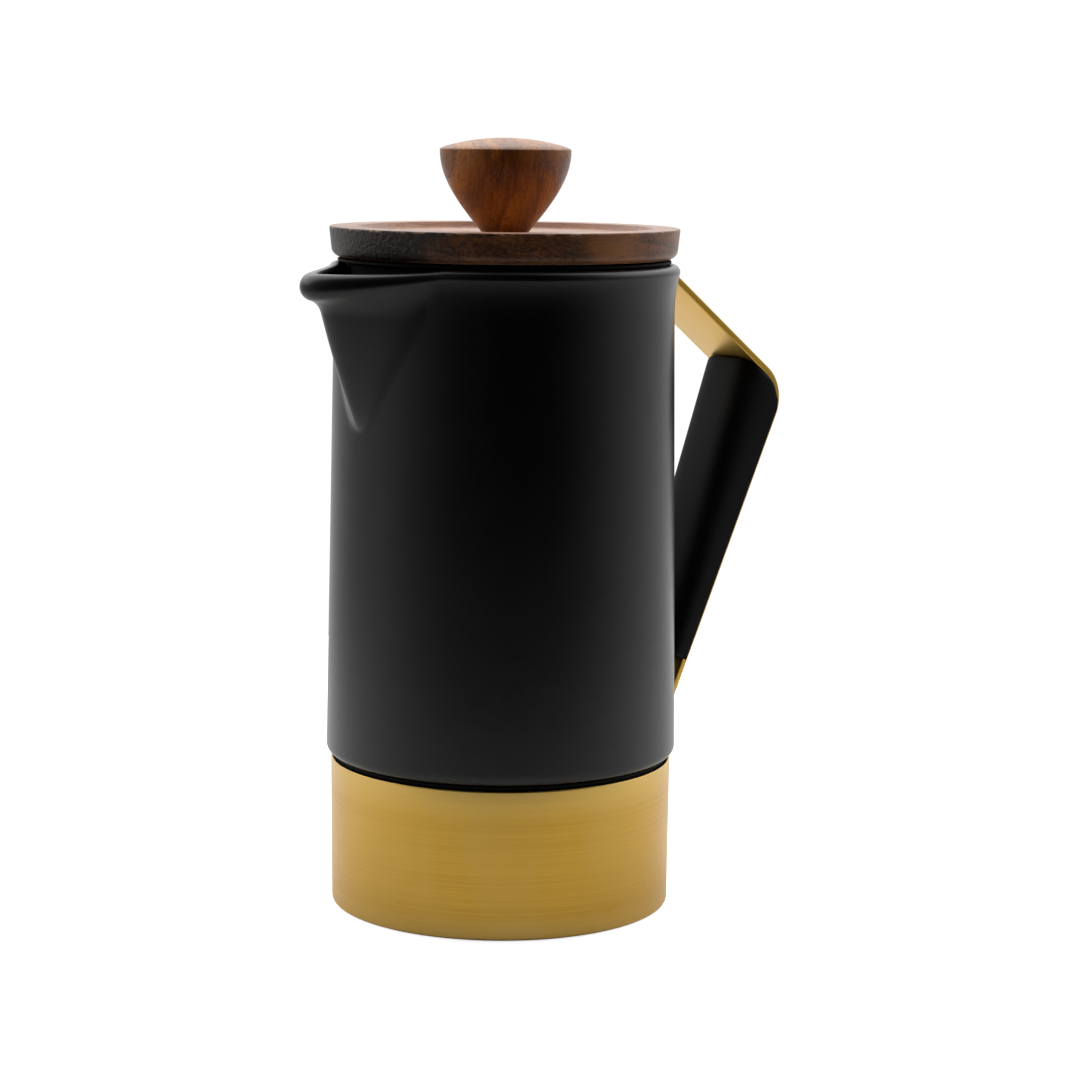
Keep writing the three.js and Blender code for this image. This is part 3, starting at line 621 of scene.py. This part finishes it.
def jug_section(angle):
    """The jug's outline at an angle, in degrees, from the middle of the spout."""
    share = spout_share(angle, SPOUT_HALF_ANGLE)
    bead = [a + (b - a) * share for a, b in zip(RIM_BEAD, TIP_BEAD)]
    bead[1] = RIM_BEAD[1] + (TIP_BEAD[1] - RIM_BEAD[1]) * share**SPOUT_DIP_POWER
    flare_z = FLARE_Z + (SPOUT_UNDER_BEAD_Z - FLARE_Z) * share
    climb = np.linspace(SPOUT_START_Z, flare_z, 30)
    outer = [(jug_wall_radius(z) + keel_reach(z, angle), z) for z in climb]
    climb = np.linspace(SPOUT_START_Z, SPOUT_UNDER_BEAD_Z, 30)
    inner = [(BORE_R + keel_reach(z, angle), z) for z in climb[::-1]]
    low = np.linspace(JUG_LOWER_Z + 1, SPOUT_START_Z - 1, 12)
    corner_r = BORE_R - FLOOR_CORNER
    foot, shoulder = JUG_FOOT_CORNER, JUG_SHOULDER_CORNER
    foot_arc = arc(JUG_FOOT_R - foot, JUG_FOOT_Z + foot, foot, -90, 0, 8)
    edge = arc(JUG_LOWER_R - shoulder, JUG_SHOULDER_Z + shoulder, shoulder, -90, 0, 8)
    floor_arc = arc(corner_r, FLOOR_Z + FLOOR_CORNER, FLOOR_CORNER, 0, -90, 10)
    outline = [(0, JUG_FOOT_Z), *foot_arc, (JUG_FOOT_R, JUG_SHOULDER_Z), *edge]
    outline += [(jug_wall_radius(z), z) for z in low]
    outline += outer
    under_bead = -20 - 60 * share  # where the wall runs into the bead, in degrees
    outer_edge = arc(*bead, under_bead, 90, 20)
    inner_edge = arc(bead[0] - RIM_FLAT * (1 - share), *bead[1:], 90, 180, 12)
    outline += flare(outer[-2], outer[-1], outer_edge[0]) + outer_edge
    outline += inner_edge + flare(inner[1], inner[0], inner_edge[-1])[::-1]
    outline += inner
    outline += [(BORE_R, z) for z in np.linspace(SPOUT_START_Z - 4, 30, 8)]
    return outline + floor_arc + [(0, FLOOR_Z)]


def flare(before, start, end, steps=9):
    """A smooth curve from the wall into the bead, leaving along the wall's own slope."""
    before, start, end = Vector(before), Vector(start), Vector(end)
    via = start + (start - before).normalized() * (end - start).length * 0.55
    points = []
    for k in range(1, steps):
        t = k / steps
        points.append(tuple(start * (1 - t) ** 2 + via * 2 * t * (1 - t) + end * t * t))
    return points


def make_jug():
    """Sections all round, set closer together at the spout."""
    sides, crowding = 288, 0.6
    verts, rings = [], []
    for side in range(sides):
        even = 2 * math.pi * side / sides - math.pi
        angle = even - crowding * math.sin(even)
        section = jug_section(math.degrees(angle))
        rings.append(len(verts))
        verts += [(-r * math.cos(angle), -r * math.sin(angle), z) for r, z in section]
    count = len(section)
    faces = []
    for side in range(sides):
        a, b = rings[side], rings[(side + 1) % sides]
        for i in range(count - 1):
            faces.append([a + i, b + i, b + i + 1, a + i + 1])
    jug = new_piece("jug", "jug_body", verts, faces, CERAMIC, "jug", sharp=40)
    shape = bmesh.new()
    shape.from_mesh(jug.data)
    bmesh.ops.remove_doubles(shape, verts=shape.verts, dist=0.00001)
    shape.to_mesh(jug.data)
    shape.free()
    cut_away(jug, level_holes(3.5, 0, 10, INSERT_X - 0.3, SCREW_Z))


def make_base():
    r0, r1, w = BASE_BOTTOM_R, BASE_TOP_R, BASE_WALL
    z0, z1 = BASE_BOTTOM_Z, BASE_TOP_Z
    outline = rounded(
        [
            (0, z0), (FOOT_PAD_R + 0.3, z0, 0.2), (FOOT_PAD_R + 0.6, BASE_EDGE_Z, 0.2),
            (r0, BASE_EDGE_Z, 0.85), (r1, z1, 0.35), (r1 - w, z1, 0.35), (r0 - w, z0 + w, 1),
            (0, z0 + w),
        ],
        step=10,
    )
    base = turned("base", "base_cup", subdivided(outline, 5), GOLD_AROUND, "jug", sides=256)
    cut_away(base, level_holes(1.9, 0, 20, 40, RIVET_Z))


def make_seals():
    cup_inner = BASE_TOP_R - BASE_WALL - 0.3
    seat = [
        (JUG_FOOT_R + 0.2, 38),
        (cup_inner - 0.2, 38, 0.3),
        (cup_inner, BASE_TOP_Z + 0.3),
        (BASE_TOP_R - 0.9, BASE_TOP_Z + 0.3, 0.3),
        (BASE_TOP_R - 0.9, JUG_SHOULDER_Z - 0.2, 0.3),
        (JUG_FOOT_R + 0.2, JUG_SHOULDER_Z - 0.2),
    ]
    turned("seat_seal", "seat_ring", rounded(seat, True), SILICONE, "jug", closed=True)
    low, high = levels("base_cushion")
    cushion = rounded([(0, low), (30, low, 0.6), (30, high, 0.6), (0, high)])
    turned("cushion", "base_cushion", cushion, SILICONE, "jug")
    low, high = levels("foot_pad")
    grooves = [(0, low)]
    for r in range(6, 42, 6):
        grooves += [(r - 0.5, low), (r, low + 0.15), (r + 0.5, low)]
    pad = grooves + [(FOOT_PAD_R - 0.4, low), (FOOT_PAD_R, high), (0, high)]
    turned("foot", "foot_pad", pad, SILICONE, "jug")


# ---- handle --------------------------------------------------------------------------------
def strap_line(offset):
    """The bar's outer face moved inwards by an offset, as corners with bend radii."""
    upper = STRAP_CORNER - UPPER_OUT * offset
    lower = STRAP_CORNER - LOWER_OUT * offset
    top_x = UPPER_TAB_X + offset
    foot_x = LOWER_TAB_X - offset
    top_z = upper.y + (top_x - upper.x) * UPPER_RUN.y / UPPER_RUN.x
    foot_z = lower.y + (foot_x - lower.x) * LOWER_RUN.y / LOWER_RUN.x
    gap = lower - upper
    across = UPPER_RUN.x * LOWER_RUN.y - UPPER_RUN.y * LOWER_RUN.x
    bend = upper + UPPER_RUN * ((gap.x * LOWER_RUN.y - gap.y * LOWER_RUN.x) / across)
    return [
        (top_x, UPPER_TAB_END_Z),
        (top_x, top_z, STRAP_TAB_BEND - offset),
        (bend.x, bend.y, STRAP_CORNER_BEND - offset),
        (foot_x, foot_z, STRAP_FOOT_BEND + offset),
        (foot_x, LOWER_TAB_END_Z),
    ]


def strap_section():
    """The bar's section as (share of thickness, y) points with rounded edges."""
    half, edge, t = STRAP_WIDTH / 2, 0.35, STRAP_THICKNESS
    box = [(0, -half, edge), (t, -half, edge), (t, half, edge), (0, half, edge)]
    return [(x / t, y) for x, y in rounded(box, True, step=22)]


def subdivided(points, longest):
    """Adds points so that no stretch of a path is longer than this."""
    out = [points[0]]
    for a, b in zip(points, points[1:]):
        count = max(1, math.ceil((Vector(b) - Vector(a)).length / longest))
        out += [tuple(Vector(a).lerp(Vector(b), k / count)) for k in range(1, count + 1)]
    return out


def make_strap():
    outer = [Vector(p) for p in rounded(strap_line(0), step=4)]
    inner = [Vector(p) for p in rounded(strap_line(STRAP_THICKNESS), step=4)]
    section = strap_section()
    verts, uvs = [], []
    run = 0.0
    for i, (a, b) in enumerate(zip(outer, inner)):
        run += (a - outer[i - 1]).length if i else 0
        for share, y in section:
            p = a.lerp(b, share)
            verts.append((p.x, y, p.y))
            uvs.append((run, y))
    faces = tube_faces(len(outer), len(section))
    strap = new_piece("strap", "handle_strap", verts, faces, GOLD_ALONG, "jug", uvs=uvs)
    holes = level_holes(2.2, -2, 8, UPPER_TAB_X, SCREW_Z)
    holes += level_holes(1.9, -6, 4, LOWER_TAB_X, RIVET_Z)
    cut_away(strap, holes + grip_screw_holes(10, 40))


def on_lower_run(distance, inwards):
    """A point (x, z) down the lower run from the corner, and inwards from the outer face."""
    return STRAP_CORNER + LOWER_RUN * distance - LOWER_OUT * inwards


def grip_screw_place(distance):
    at = on_lower_run(distance, 0)
    return aim((at.x, 0, at.y), (LOWER_OUT.x, 0, LOWER_OUT.y))


def grip_screw_holes(depth, sides):
    """Countersunk holes into the handle from the strap's outer face."""
    outline = [(0, -depth), (1.8, -depth), (1.8, -1.7), (3.3, 0), (3.3, 3), (0, 3)]
    return [placed(revolve(outline, sides), grip_screw_place(at)) for at in GRIP_SCREW_AT]


def grip_top(depth):
    """Where the grip starts along the lower run, at a depth below the strap's outer face."""
    turn = 90 - math.degrees(UPPER_ANGLE) + math.degrees(LOWER_ANGLE)
    start = STRAP_CORNER_BEND * math.tan(math.radians(turn / 2))
    centre = on_lower_run(start, STRAP_CORNER_BEND)
    runs, depths = [], []
    for t in np.linspace(0, 1, 25):
        angle = math.radians(90 - math.degrees(UPPER_ANGLE) - turn * t)
        reveal = GRIP_TOP_REVEAL + (GRIP_REVEAL - GRIP_TOP_REVEAL) * t**0.8
        radius = STRAP_CORNER_BEND - reveal
        spoke = centre + Vector((math.cos(angle), math.sin(angle))) * radius - STRAP_CORNER
        runs.append(spoke.dot(LOWER_RUN))
        depths.append(-spoke.dot(LOWER_OUT))
    if depth <= depths[0]:
        return float(np.interp(depth, depths[::-1], runs[::-1]))
    back = -UPPER_RUN
    slope = back.dot(LOWER_RUN) / -back.dot(LOWER_OUT)
    return runs[0] + slope * (depth - depths[0])


def grip_outline():
    """The grip's section as (y, depth) points: a channel for the strap, and a rounded side."""
    half, lip = GRIP_HALF_WIDTH, GRIP_REVEAL
    channel, under = STRAP_WIDTH / 2 + 0.2, STRAP_THICKNESS + 0.2
    side_end = STRAP_THICKNESS + GRIP_SIDE_DEPTH
    outline = rounded(
        [
            (-half, side_end), (-half, lip, 0.25), (-channel, lip, 0.1), (-channel, under),
            (channel, under), (channel, lip, 0.1), (half, lip, 0.25), (half, side_end),
        ],
        step=15,
    )
    power = 2 / GRIP_SQUARENESS
    for x, y in arc(0, 0, 1, 0, 180, 72)[1:-1]:
        wide = math.copysign(abs(x) ** power, x)
        below = GRIP_SIDE_DEPTH + y**power * (GRIP_DEPTH - GRIP_SIDE_DEPTH)
        outline.append((half * wide, STRAP_THICKNESS + below))
    return subdivided(outline + outline[:1], 1.5)[:-1]


def make_grip():
    """The section repeated down the lower run, shallower towards the end. Squeeze is how much
    smaller the section is at the ends, which rounds their edges."""
    taper = GRIP_END_DEPTH / GRIP_DEPTH
    outline = grip_outline()
    verts = []
    steps = [0, 0.004, 0.012, 0.03] + list(np.linspace(0.06, 0.97, 44)) + [0.992, 0.997, 1]
    squeeze = {0: 0.55, 0.004: 0.2, 0.012: 0.03, 0.992: 0.03, 0.997: 0.2, 1: 0.55}
    centre = Vector((0, 7))  # the point that the ends of the grip shrink towards
    for step in steps:
        inset = squeeze.get(step, 0)
        for y, full in outline:
            pulled = Vector((y, full))
            if full > STRAP_THICKNESS + 0.3:
                pulled += (centre - pulled).normalized() * inset
            depth = pulled.y
            for _ in range(3):
                first = grip_top(depth)
                run = first + (GRIP_END - first) * step
                share = 1 + (taper - 1) * (run - GRIP_START) / (GRIP_END - GRIP_START)
                below = pulled.y - STRAP_THICKNESS
                depth = pulled.y if below <= 0 else STRAP_THICKNESS + below * share
            place = on_lower_run(run, depth)
            verts.append((place.x, pulled.x, place.y))
    faces = tube_faces(len(steps), len(outline))
    grip = new_piece("grip", "handle_grip", verts, faces, GRIP, "jug", sharp=50)
    cut_away(grip, grip_screw_holes(6.5, 32))


def make_pads():
    """Soft pads between the flat tabs and the round walls behind them."""
    upper_x = UPPER_TAB_X - 0.15
    lower_x = LOWER_TAB_X - STRAP_THICKNESS - 0.15
    places = {
        "upper": (upper_x, lambda z: jug_wall_radius(z) + 0.25, SCREW_Z),
        "lower": (lower_x, lambda z: BASE_TOP_R + 0.2, RIVET_Z),
    }
    for name, (front, wall, heights) in places.items():
        verts = []
        across = np.linspace(-PAD_HALF_WIDTH, PAD_HALF_WIDTH, 25)
        rows = np.linspace(*levels(f"handle_pad_{name}"), 12)
        for z in rows:
            verts += [(front, y, z) for y in across]
            verts += [(math.sqrt(wall(z) ** 2 - y * y), y, z) for y in across[::-1]]
        faces = tube_faces(len(rows), 2 * len(across))
        pad = new_piece(f"pad_{name}", f"handle_pad_{name}", verts, faces, SILICONE, "jug")
        cut_away(pad, level_holes(2.5, -10, 10, front, heights))


def hexagon(across_flats):
    return arc(0, 0, across_flats / math.sqrt(3), 0, 300, 5)


def make_button_screw(place, z):
    outline = rounded(
        [
            (0, -6.2), (1.8, -6.2, 0.3), (1.8, 0), (3.6, 0, 0.2), (3.4, 1.3, 1), (2.2, 2.1, 0.6),
            (0, 2.1),
        ]
    )
    at = aim((UPPER_TAB_X + STRAP_THICKNESS + 0.15, 0, z), OUTWARDS)
    screw = turned(f"button_screw_{place}", f"handle_screw_{place}", outline, STEEL_SMALL, "jug",
                   sides=64, place=at)
    cut_away(screw, [placed(prism(hexagon(2.5), 0.8, 4), at)])


def make_insert(place, z):
    ring = [(2.1, 0), (3.2, 0, 0.2), (3.2, 2.9, 0.2), (2.1, 2.9)]
    turned(f"insert_{place}", f"handle_insert_{place}", rounded(ring, True), BRASS, "jug",
           sides=64, closed=True, place=aim((INSERT_X, 0, z), OUTWARDS))


def make_rivet(place, z):
    wall_x = BASE_BOTTOM_R - BASE_WALL
    reach = LOWER_TAB_X + 0.15 - wall_x
    dome = arc(0, reach - 3.3, 4.75, 44, 90, 12)
    rivet = [(0, -0.8), (2.6, -0.8), (2.6, -0.15), (1.6, -0.15), (1.6, reach), (3.4, reach)]
    turned(f"rivet_{place}", f"base_rivet_{place}", rivet + dome, GOLD_SMALL, "jug", sides=64,
           place=aim((wall_x, 0, z), OUTWARDS))


def make_grip_screw(place, distance):
    countersunk = rounded([(0, -6.2), (1.5, -6.2, 0.4), (1.5, -1.7), (3, -0.1, 0.1), (0, -0.1)])
    at = grip_screw_place(distance)
    screw = turned(f"countersunk_{place}", f"grip_screw_{place}", countersunk, GOLD_SMALL, "jug",
                   sides=64, place=at)
    cut_away(screw, [placed(prism(hexagon(2), -1.3, 2), at)])


def make_handle_fasteners():
    for i, place in enumerate(("upper", "lower")):
        make_button_screw(place, SCREW_Z[i])
        make_insert(place, SCREW_Z[i])
        make_rivet(place, RIVET_Z[i])
        make_grip_screw(place, GRIP_SCREW_AT[i])


# ---- lid -----------------------------------------------------------------------------------
def cross_outline(reach, half):
    """An upright cross: how far its arms reach, and half their width."""
    arm = [(reach, -half), (reach, half), (half, half)]
    quarter_turns = ((1, 0), (0, 1), (-1, 0), (0, -1))
    return [(x * c - y * s, x * s + y * c) for c, s in quarter_turns for x, y in arm]


def collar_screw_places():
    return ring_places(3, COLLAR_SCREW_CIRCLE, start=60)


def make_lid():
    side_low_r = LID_R - 0.9
    outline = rounded(
        [
            (5.3, LID_BOTTOM_Z, 0.2), (side_low_r, LID_BOTTOM_Z, 2.7), (LID_R, LID_TOP_Z, 0.5),
            (RECESS_R + 1.4, LID_TOP_Z, 0.5), (RECESS_R, RECESS_Z, 1.2), (5.3, RECESS_Z, 0.2),
        ],
        True,
        step=10,
    )
    path = subdivided(outline + outline[:1], 4)[:-1]
    lid = turned("lid", "lid_disc", path, LID_WOOD, "lid", sides=288, closed=True)
    hole = cylinder(1.7, 180, LID_BOTTOM_Z + 5.4)
    cut_away(lid, [placed(hole, at) for at in collar_screw_places()])


def make_collar():
    """The skirt under the lid, with a flange that the screws hold."""
    flange, outer = LID_BOTTOM_Z - 0.25, COLLAR_R
    outline = rounded(
        [
            (30, flange), (30, flange - 1, 0.2), (outer - 1.9, flange - 1, 1),
            (outer - 1, flange - 2.2, 1), (outer - 1, COLLAR_BOTTOM_Z, 0.45),
            (outer, COLLAR_BOTTOM_Z, 0.45), (outer, flange - 1.3, 0.8),
            (outer - 0.9, flange, 0.5),
        ],
        True,
    )
    collar = turned("collar", "lid_collar", outline, STEEL, "lid", sides=200, closed=True)
    cut_away(collar, [placed(cylinder(1.7, 180, 190), at) for at in collar_screw_places()])


def make_collar_screws():
    z = LID_BOTTOM_Z - 1.35
    outline = [(0, z - 1.5), (2, z - 1.5, 0.6), (2.8, z - 0.9, 0.4), (2.8, z, 0.1), (1.4, z)]
    outline += [(1.4, z + 4.8), (0, z + 6)]
    slot = prism(cross_outline(1.5, 0.3), z - 3, z - 0.8)
    for number, at in enumerate(collar_screw_places(), 1):
        screw = turned(f"wood_screw_{number}", f"collar_screw_{number}", rounded(outline),
                       STEEL_SMALL, "lid", sides=48, place=at)
        cut_away(screw, [placed(slot, at)])


def make_gasket():
    """A sleeve round the collar with a lip that lies on the jug's rim."""
    low, high = levels("lid_gasket")
    lip_r = outer_radius("lid_gasket")
    outline = rounded(
        [
            (42.2, low, 0.2), (43.1, low + 0.6, 0.2), (43.1, high - 1.6, 0.3),
            (44.2, high - 0.9, 0.3), (lip_r, high - 0.85, 0.3), (lip_r, high, 0.3), (42.2, high),
        ],
        True,
    )
    turned("gasket_ring", "lid_gasket", outline, SILICONE, "gasket", sides=200, closed=True)


def make_rod_bush():
    low, high = levels("rod_bush")
    outline = [(ROD_HOLE_R, low, 0.2), (5, low, 0.3), (5, high, 0.3), (ROD_HOLE_R, high, 0.3)]
    turned("bush", "rod_bush", rounded(outline, True), STEEL_SMALL, "lid", sides=64, closed=True)
    low, high = levels("bush_nut")
    verts, faces = prism(hexagon(14), low, high)
    nut = new_piece("nut", "bush_nut", verts, faces, STEEL_SMALL, "lid")
    cut_away(nut, [cylinder(5.3, low - 5, high + 5, 64)])


# ---- plunger -------------------------------------------------------------------------------
def make_rod():
    low, high = ROD_BOTTOM_Z, ROD_TOP_Z
    outline = rounded([(0, low), (ROD_R, low, 0.5), (ROD_R, high, 0.5), (0, high)])
    turned("rod", "plunger_rod", subdivided(outline, 20), STEEL, "plunger", sides=48)


def make_hub():
    z = levels("rod_hub")[0]
    outline = rounded(
        [
            (ROD_HOLE_R, z), (6.5, z, 0.3), (6.5, z + 2, 0.5), (4.6, z + 3.4, 1),
            (4.2, z + 10, 0.5), (ROD_HOLE_R, z + 10),
        ],
        True,
    )
    turned("hub", "rod_hub", outline, STEEL, "plunger", sides=96, closed=True)


def make_spring_plate():
    """A dished plate, raised in the middle and turned up at its edge, with a ring of holes."""
    z = levels("spring_plate")[0] - 0.8
    outline = rounded(
        [
            (2.8, z + 3), (9, z + 3, 2), (13, z + 1.6, 2), (38, z + 1.6, 1), (40.6, z + 2.6, 0.3),
            (40.6, z + 1.8, 0.3), (38.4, z + 0.8, 1), (12.7, z + 0.8, 2), (8.7, z + 2.2, 2),
            (2.8, z + 2.2),
        ],
        True,
    )
    plate = turned("top_plate", "spring_plate", outline, STEEL, "plunger", sides=160, closed=True)
    cut_away(plate, [placed(cylinder(3, 15, 60, 24), at) for at in ring_places(12, 31)])


def make_mesh_screen():
    z = levels("mesh_screen")[0]
    edge_r = outer_radius("mesh_screen")
    outline = [(2.8, z), (edge_r - 1.1, z), (edge_r, z + 0.6)]
    outline += [(edge_r - 0.7, z + 0.6), (edge_r - 1.3, z + 0.35), (2.8, z + 0.35)]
    turned("screen", "mesh_screen", outline, WOVEN, "plunger", closed=True)


def make_cross_plate():
    """The bottom plate: four windows leave a cross and a rim."""
    z = levels("cross_plate")[0] + 1
    edge_r = outer_radius("cross_plate")
    outline = rounded(
        [
            (2.8, z - 1), (8, z - 1, 1), (10.5, z + 0.4, 1), (edge_r, z + 0.4, 0.3),
            (edge_r, z + 1.3, 0.3), (10.2, z + 1.3, 1), (7.8, z, 1), (2.8, z),
        ],
        True,
    )
    plate = turned("bottom_plate", "cross_plate", outline, STEEL, "plunger", sides=160,
                   closed=True)
    windows = []
    for middle in range(0, 360, 90):
        window = arc(0, 0, 36, middle - 38, middle + 38, 20)
        window += arc(0, 0, 14, middle + 38, middle - 38, 12)
        windows.append(prism(window, z - 8, z + 12))
    cut_away(plate, windows)


def make_filter_nut():
    top = levels("filter_nut")[1]
    outline = [(ROD_HOLE_R, top), (7, top, 0.3), (7, top - 2.2, 0.4), (6.2, top - 3.4, 0.4)]
    outline += [(ROD_HOLE_R, top - 3.4)]
    nut = turned("knurled_nut", "filter_nut", rounded(outline, True), STEEL_SMALL, "plunger",
                 sides=144, closed=True)
    knurl(nut, 6.6, 36, 0.25)


def knurl(piece, from_radius, count, depth):
    """Presses grooves into the outer wall of a turned piece."""
    for vertex in piece.data.vertices:
        r = math.hypot(vertex.co.x, vertex.co.y) / MM
        if r > from_radius:
            angle = math.atan2(vertex.co.y, vertex.co.x)
            factor = 1 - depth * (0.5 - 0.5 * math.cos(count * angle)) / r
            vertex.co.x *= factor
            vertex.co.y *= factor


def make_coil():
    """The coil spring round the filter: one wire wound round a circle."""
    low, high = levels("rim_spring")
    middle_z = (low + high) / 2
    wire = 0.32
    coil = min((high - low) / 2, 1.25) - wire
    ring = outer_radius("rim_spring") - coil - wire - 0.1
    turns, per_turn, sides = 150, 14, 6
    count = turns * per_turn
    verts, faces = [], []
    for i in range(count):
        around = 2 * math.pi * i / count
        wind = 2 * math.pi * i / per_turn
        outward = Vector((math.cos(around), math.sin(around), 0))
        up = Vector((0, 0, 1))
        spoke = outward * math.cos(wind) + up * math.sin(wind)
        centre = outward * ring + up * middle_z + spoke * coil
        lead = Vector((-math.sin(around), math.cos(around), 0)) * ring / turns / coil
        tangent = (lead - outward * math.sin(wind) + up * math.cos(wind)).normalized()
        side = tangent.cross(spoke).normalized()
        for k in range(sides):
            a = 2 * math.pi * k / sides
            verts.append(tuple(centre + (spoke * math.cos(a) + side * math.sin(a)) * wire))
    for i in range(count):
        j = (i + 1) % count
        for k in range(sides):
            n = (k + 1) % sides
            faces.append([i * sides + k, i * sides + n, j * sides + n, j * sides + k])
    new_piece("coil_spring", "rim_spring", verts, faces, STEEL_SMALL, "plunger", sharp=70)


# ---- knob ----------------------------------------------------------------------------------
def make_knob():
    """A side that swells as a quarter sine wave, a small rounded edge and a shallow dome."""
    side = []
    for t in np.linspace(0, 1, 26):
        z = KNOB_BOTTOM_Z + (KNOB_RIM_Z - 0.7 - KNOB_BOTTOM_Z) * t
        side.append((KNOB_FOOT_R + (KNOB_R - KNOB_FOOT_R) * math.sin(math.pi / 2 * t), z))
    first = math.degrees(math.acos((KNOB_R - 0.5) / KNOB_DOME_R))
    dome = arc(0, KNOB_TOP_Z - KNOB_DOME_R, KNOB_DOME_R, first, 90, 16)
    edge = arc(KNOB_R - 0.55, KNOB_RIM_Z - 0.55, 0.55, 0, 55, 5)
    bore_top = ROD_TOP_Z + 0.6
    outline = [(0, bore_top), (4.6, bore_top), (4.6, KNOB_BOTTOM_Z)] + side + edge + dome[1:]
    turned("knob_turned", "knob", outline, KNOB_WOOD, "knob", sides=192)


def make_knob_insert():
    low, high = levels("knob_insert")
    outline = [(ROD_HOLE_R, low), (4.35, low, 0.2), (4.35, high, 0.2), (ROD_HOLE_R, high)]
    turned("threaded_insert", "knob_insert", rounded(outline, True), BRASS, "knob", sides=64,
           closed=True)


# ---- studio --------------------------------------------------------------------------------
VIEW_AZIMUTH = math.radians(-35.5)
CAMERA_DISTANCE = 789.6
CAMERA_HEIGHT = 221
CAMERA_YAW = -0.0136
CAMERA_PITCH = 0.1471
CAMERA_ROLL = 0.0107
LENS = 93.37

# The room as light: brightness by angle from the camera's side of the press, in degrees.
ROOM = [
    (-180, 1.1), (-150, 0.7), (-120, 0.47), (-84, 0.46), (-60, 0.2), (-36, 0.04), (0, 0.0),
    (36, 0.0), (54, 0.07), (70, 0.23), (86, 0.44), (100, 0.57), (112, 0.7), (130, 0.74),
    (150, 1.0), (180, 1.1),
]
# Dimmer near the horizon: a factor by level, from 0 straight down to 1 straight up.
HORIZON = [(0.43, 1), (0.47, 0.8), (0.5, 0.8), (0.54, 1)]
CEILING = 2.0
FLOOR_R = 420
FLOOR_GLOW = 0.75


def make_camera():
    data = bpy.data.cameras.new("camera")
    data.lens = LENS
    data.sensor_width = 36
    data.clip_start = 0.01
    data.clip_end = 50
    camera = bpy.data.objects.new("camera", data)
    bpy.context.scene.collection.objects.link(camera)
    reach = CAMERA_DISTANCE * MM
    camera.matrix_world = (
        Matrix.Rotation(VIEW_AZIMUTH, 4, "Z")
        @ Matrix.Translation((0, -reach, CAMERA_HEIGHT * MM))
        @ Matrix.Rotation(CAMERA_YAW, 4, "Z")
        @ Matrix.Rotation(math.pi / 2 - CAMERA_PITCH, 4, "X")
        @ Matrix.Rotation(CAMERA_ROLL, 4, "Z")
    )
    bpy.context.scene.camera = camera


def make_floor():
    """A pale floor that glows white for camera rays; its colour is painted darker towards the
    camera, a painted shade for a dim front of the room seen in reflections.
    """
    tree = new_material("pale_floor")
    tone = tree.place((0.001, 0.001, 0.001), turn=(0, 0, -math.degrees(VIEW_AZIMUTH)))
    near = tree.split(tone)[1]
    # painted shade: the floor's colour darkens towards the camera side
    colour = tree.ramp(
        tree.math("MULTIPLY_ADD", near, 1.0, 0.5),
        (0.08, (0.13, 0.13, 0.13)), (0.32, (0.58, 0.58, 0.58)), (0.5, (0.84, 0.84, 0.84)),
    )
    seen = tree.add("ShaderNodeLightPath").outputs["Is Camera Ray"]
    glow = tree.times(seen, FLOOR_GLOW)
    tree.surface(Base_Color=colour, Roughness=0.8, Specular_IOR_Level=0.0)
    tree.surface(Emission_Color=(1, 1, 1, 1), Emission_Strength=glow)
    floor = new_object("floor", *revolve([(0, 0), (FLOOR_R, 0)], 96))
    floor.data.materials.append(tree.owner)


def make_world():
    """White behind the press; as light, a room that is dark in front and bright behind."""
    world = bpy.data.worlds.new("studio")
    bpy.context.scene.world = world
    tree = Tree(world)
    tree.nodes.clear()
    out = tree.add("ShaderNodeOutputWorld")
    where = tree.add("ShaderNodeTexCoord").outputs["Generated"]
    facing = tree.add("ShaderNodeMapping", {"Vector": where, "Rotation": [0, 0, -VIEW_AZIMUTH]})
    x, y, z = tree.split(facing.outputs[0])
    away = tree.times(y, -1.0)
    azimuth = tree.math("ARCTAN2", x, away)
    share = tree.math("MULTIPLY_ADD", azimuth, 1 / (2 * math.pi), 0.5)
    walls = tree.ramp(share, *[(0.5 + a / 360, (v, v, v)) for a, v in ROOM])
    level = tree.math("MULTIPLY_ADD", z, 0.5, 0.5)
    dim = tree.ramp(level, *[(at, (v, v, v)) for at, v in HORIZON])
    walls = tree.mix(1.0, walls, dim, blend="MULTIPLY")
    smooth = {"interpolation_type": "SMOOTHSTEP"}
    high = tree.add("ShaderNodeMapRange", {0: z, 1: 0.12, 2: 0.5}, **smooth)
    past = tree.add("ShaderNodeMapRange", {0: y, 1: -0.3, 2: 0.15}, **smooth)
    overhead = tree.times(high.outputs[0], past.outputs[0])
    room = tree.mix(overhead, walls, (CEILING, CEILING, CEILING))
    light = tree.add("ShaderNodeBackground", {"Color": room, "Strength": 1.0})
    white = tree.add("ShaderNodeBackground", {"Color": (1, 1, 1, 1), "Strength": 1.05})
    path = tree.add("ShaderNodeLightPath")
    mix = tree.add("ShaderNodeMixShader", {0: path.outputs["Is Camera Ray"]})
    tree.put(mix.inputs[1], light.outputs[0])
    tree.put(mix.inputs[2], white.outputs[0])
    tree.put(out.inputs["Surface"], mix.outputs[0])


make_camera()
make_jug()
make_base()
make_seals()
make_strap()
make_grip()
make_pads()
make_handle_fasteners()
make_lid()
make_collar()
make_collar_screws()
make_gasket()
make_rod_bush()
make_rod()
make_hub()
make_spring_plate()
make_coil()
make_mesh_screen()
make_cross_plate()
make_filter_nut()
make_knob()
make_knob_insert()
make_floor()
make_world()
bpy.context.scene.view_settings.view_transform = "Standard"
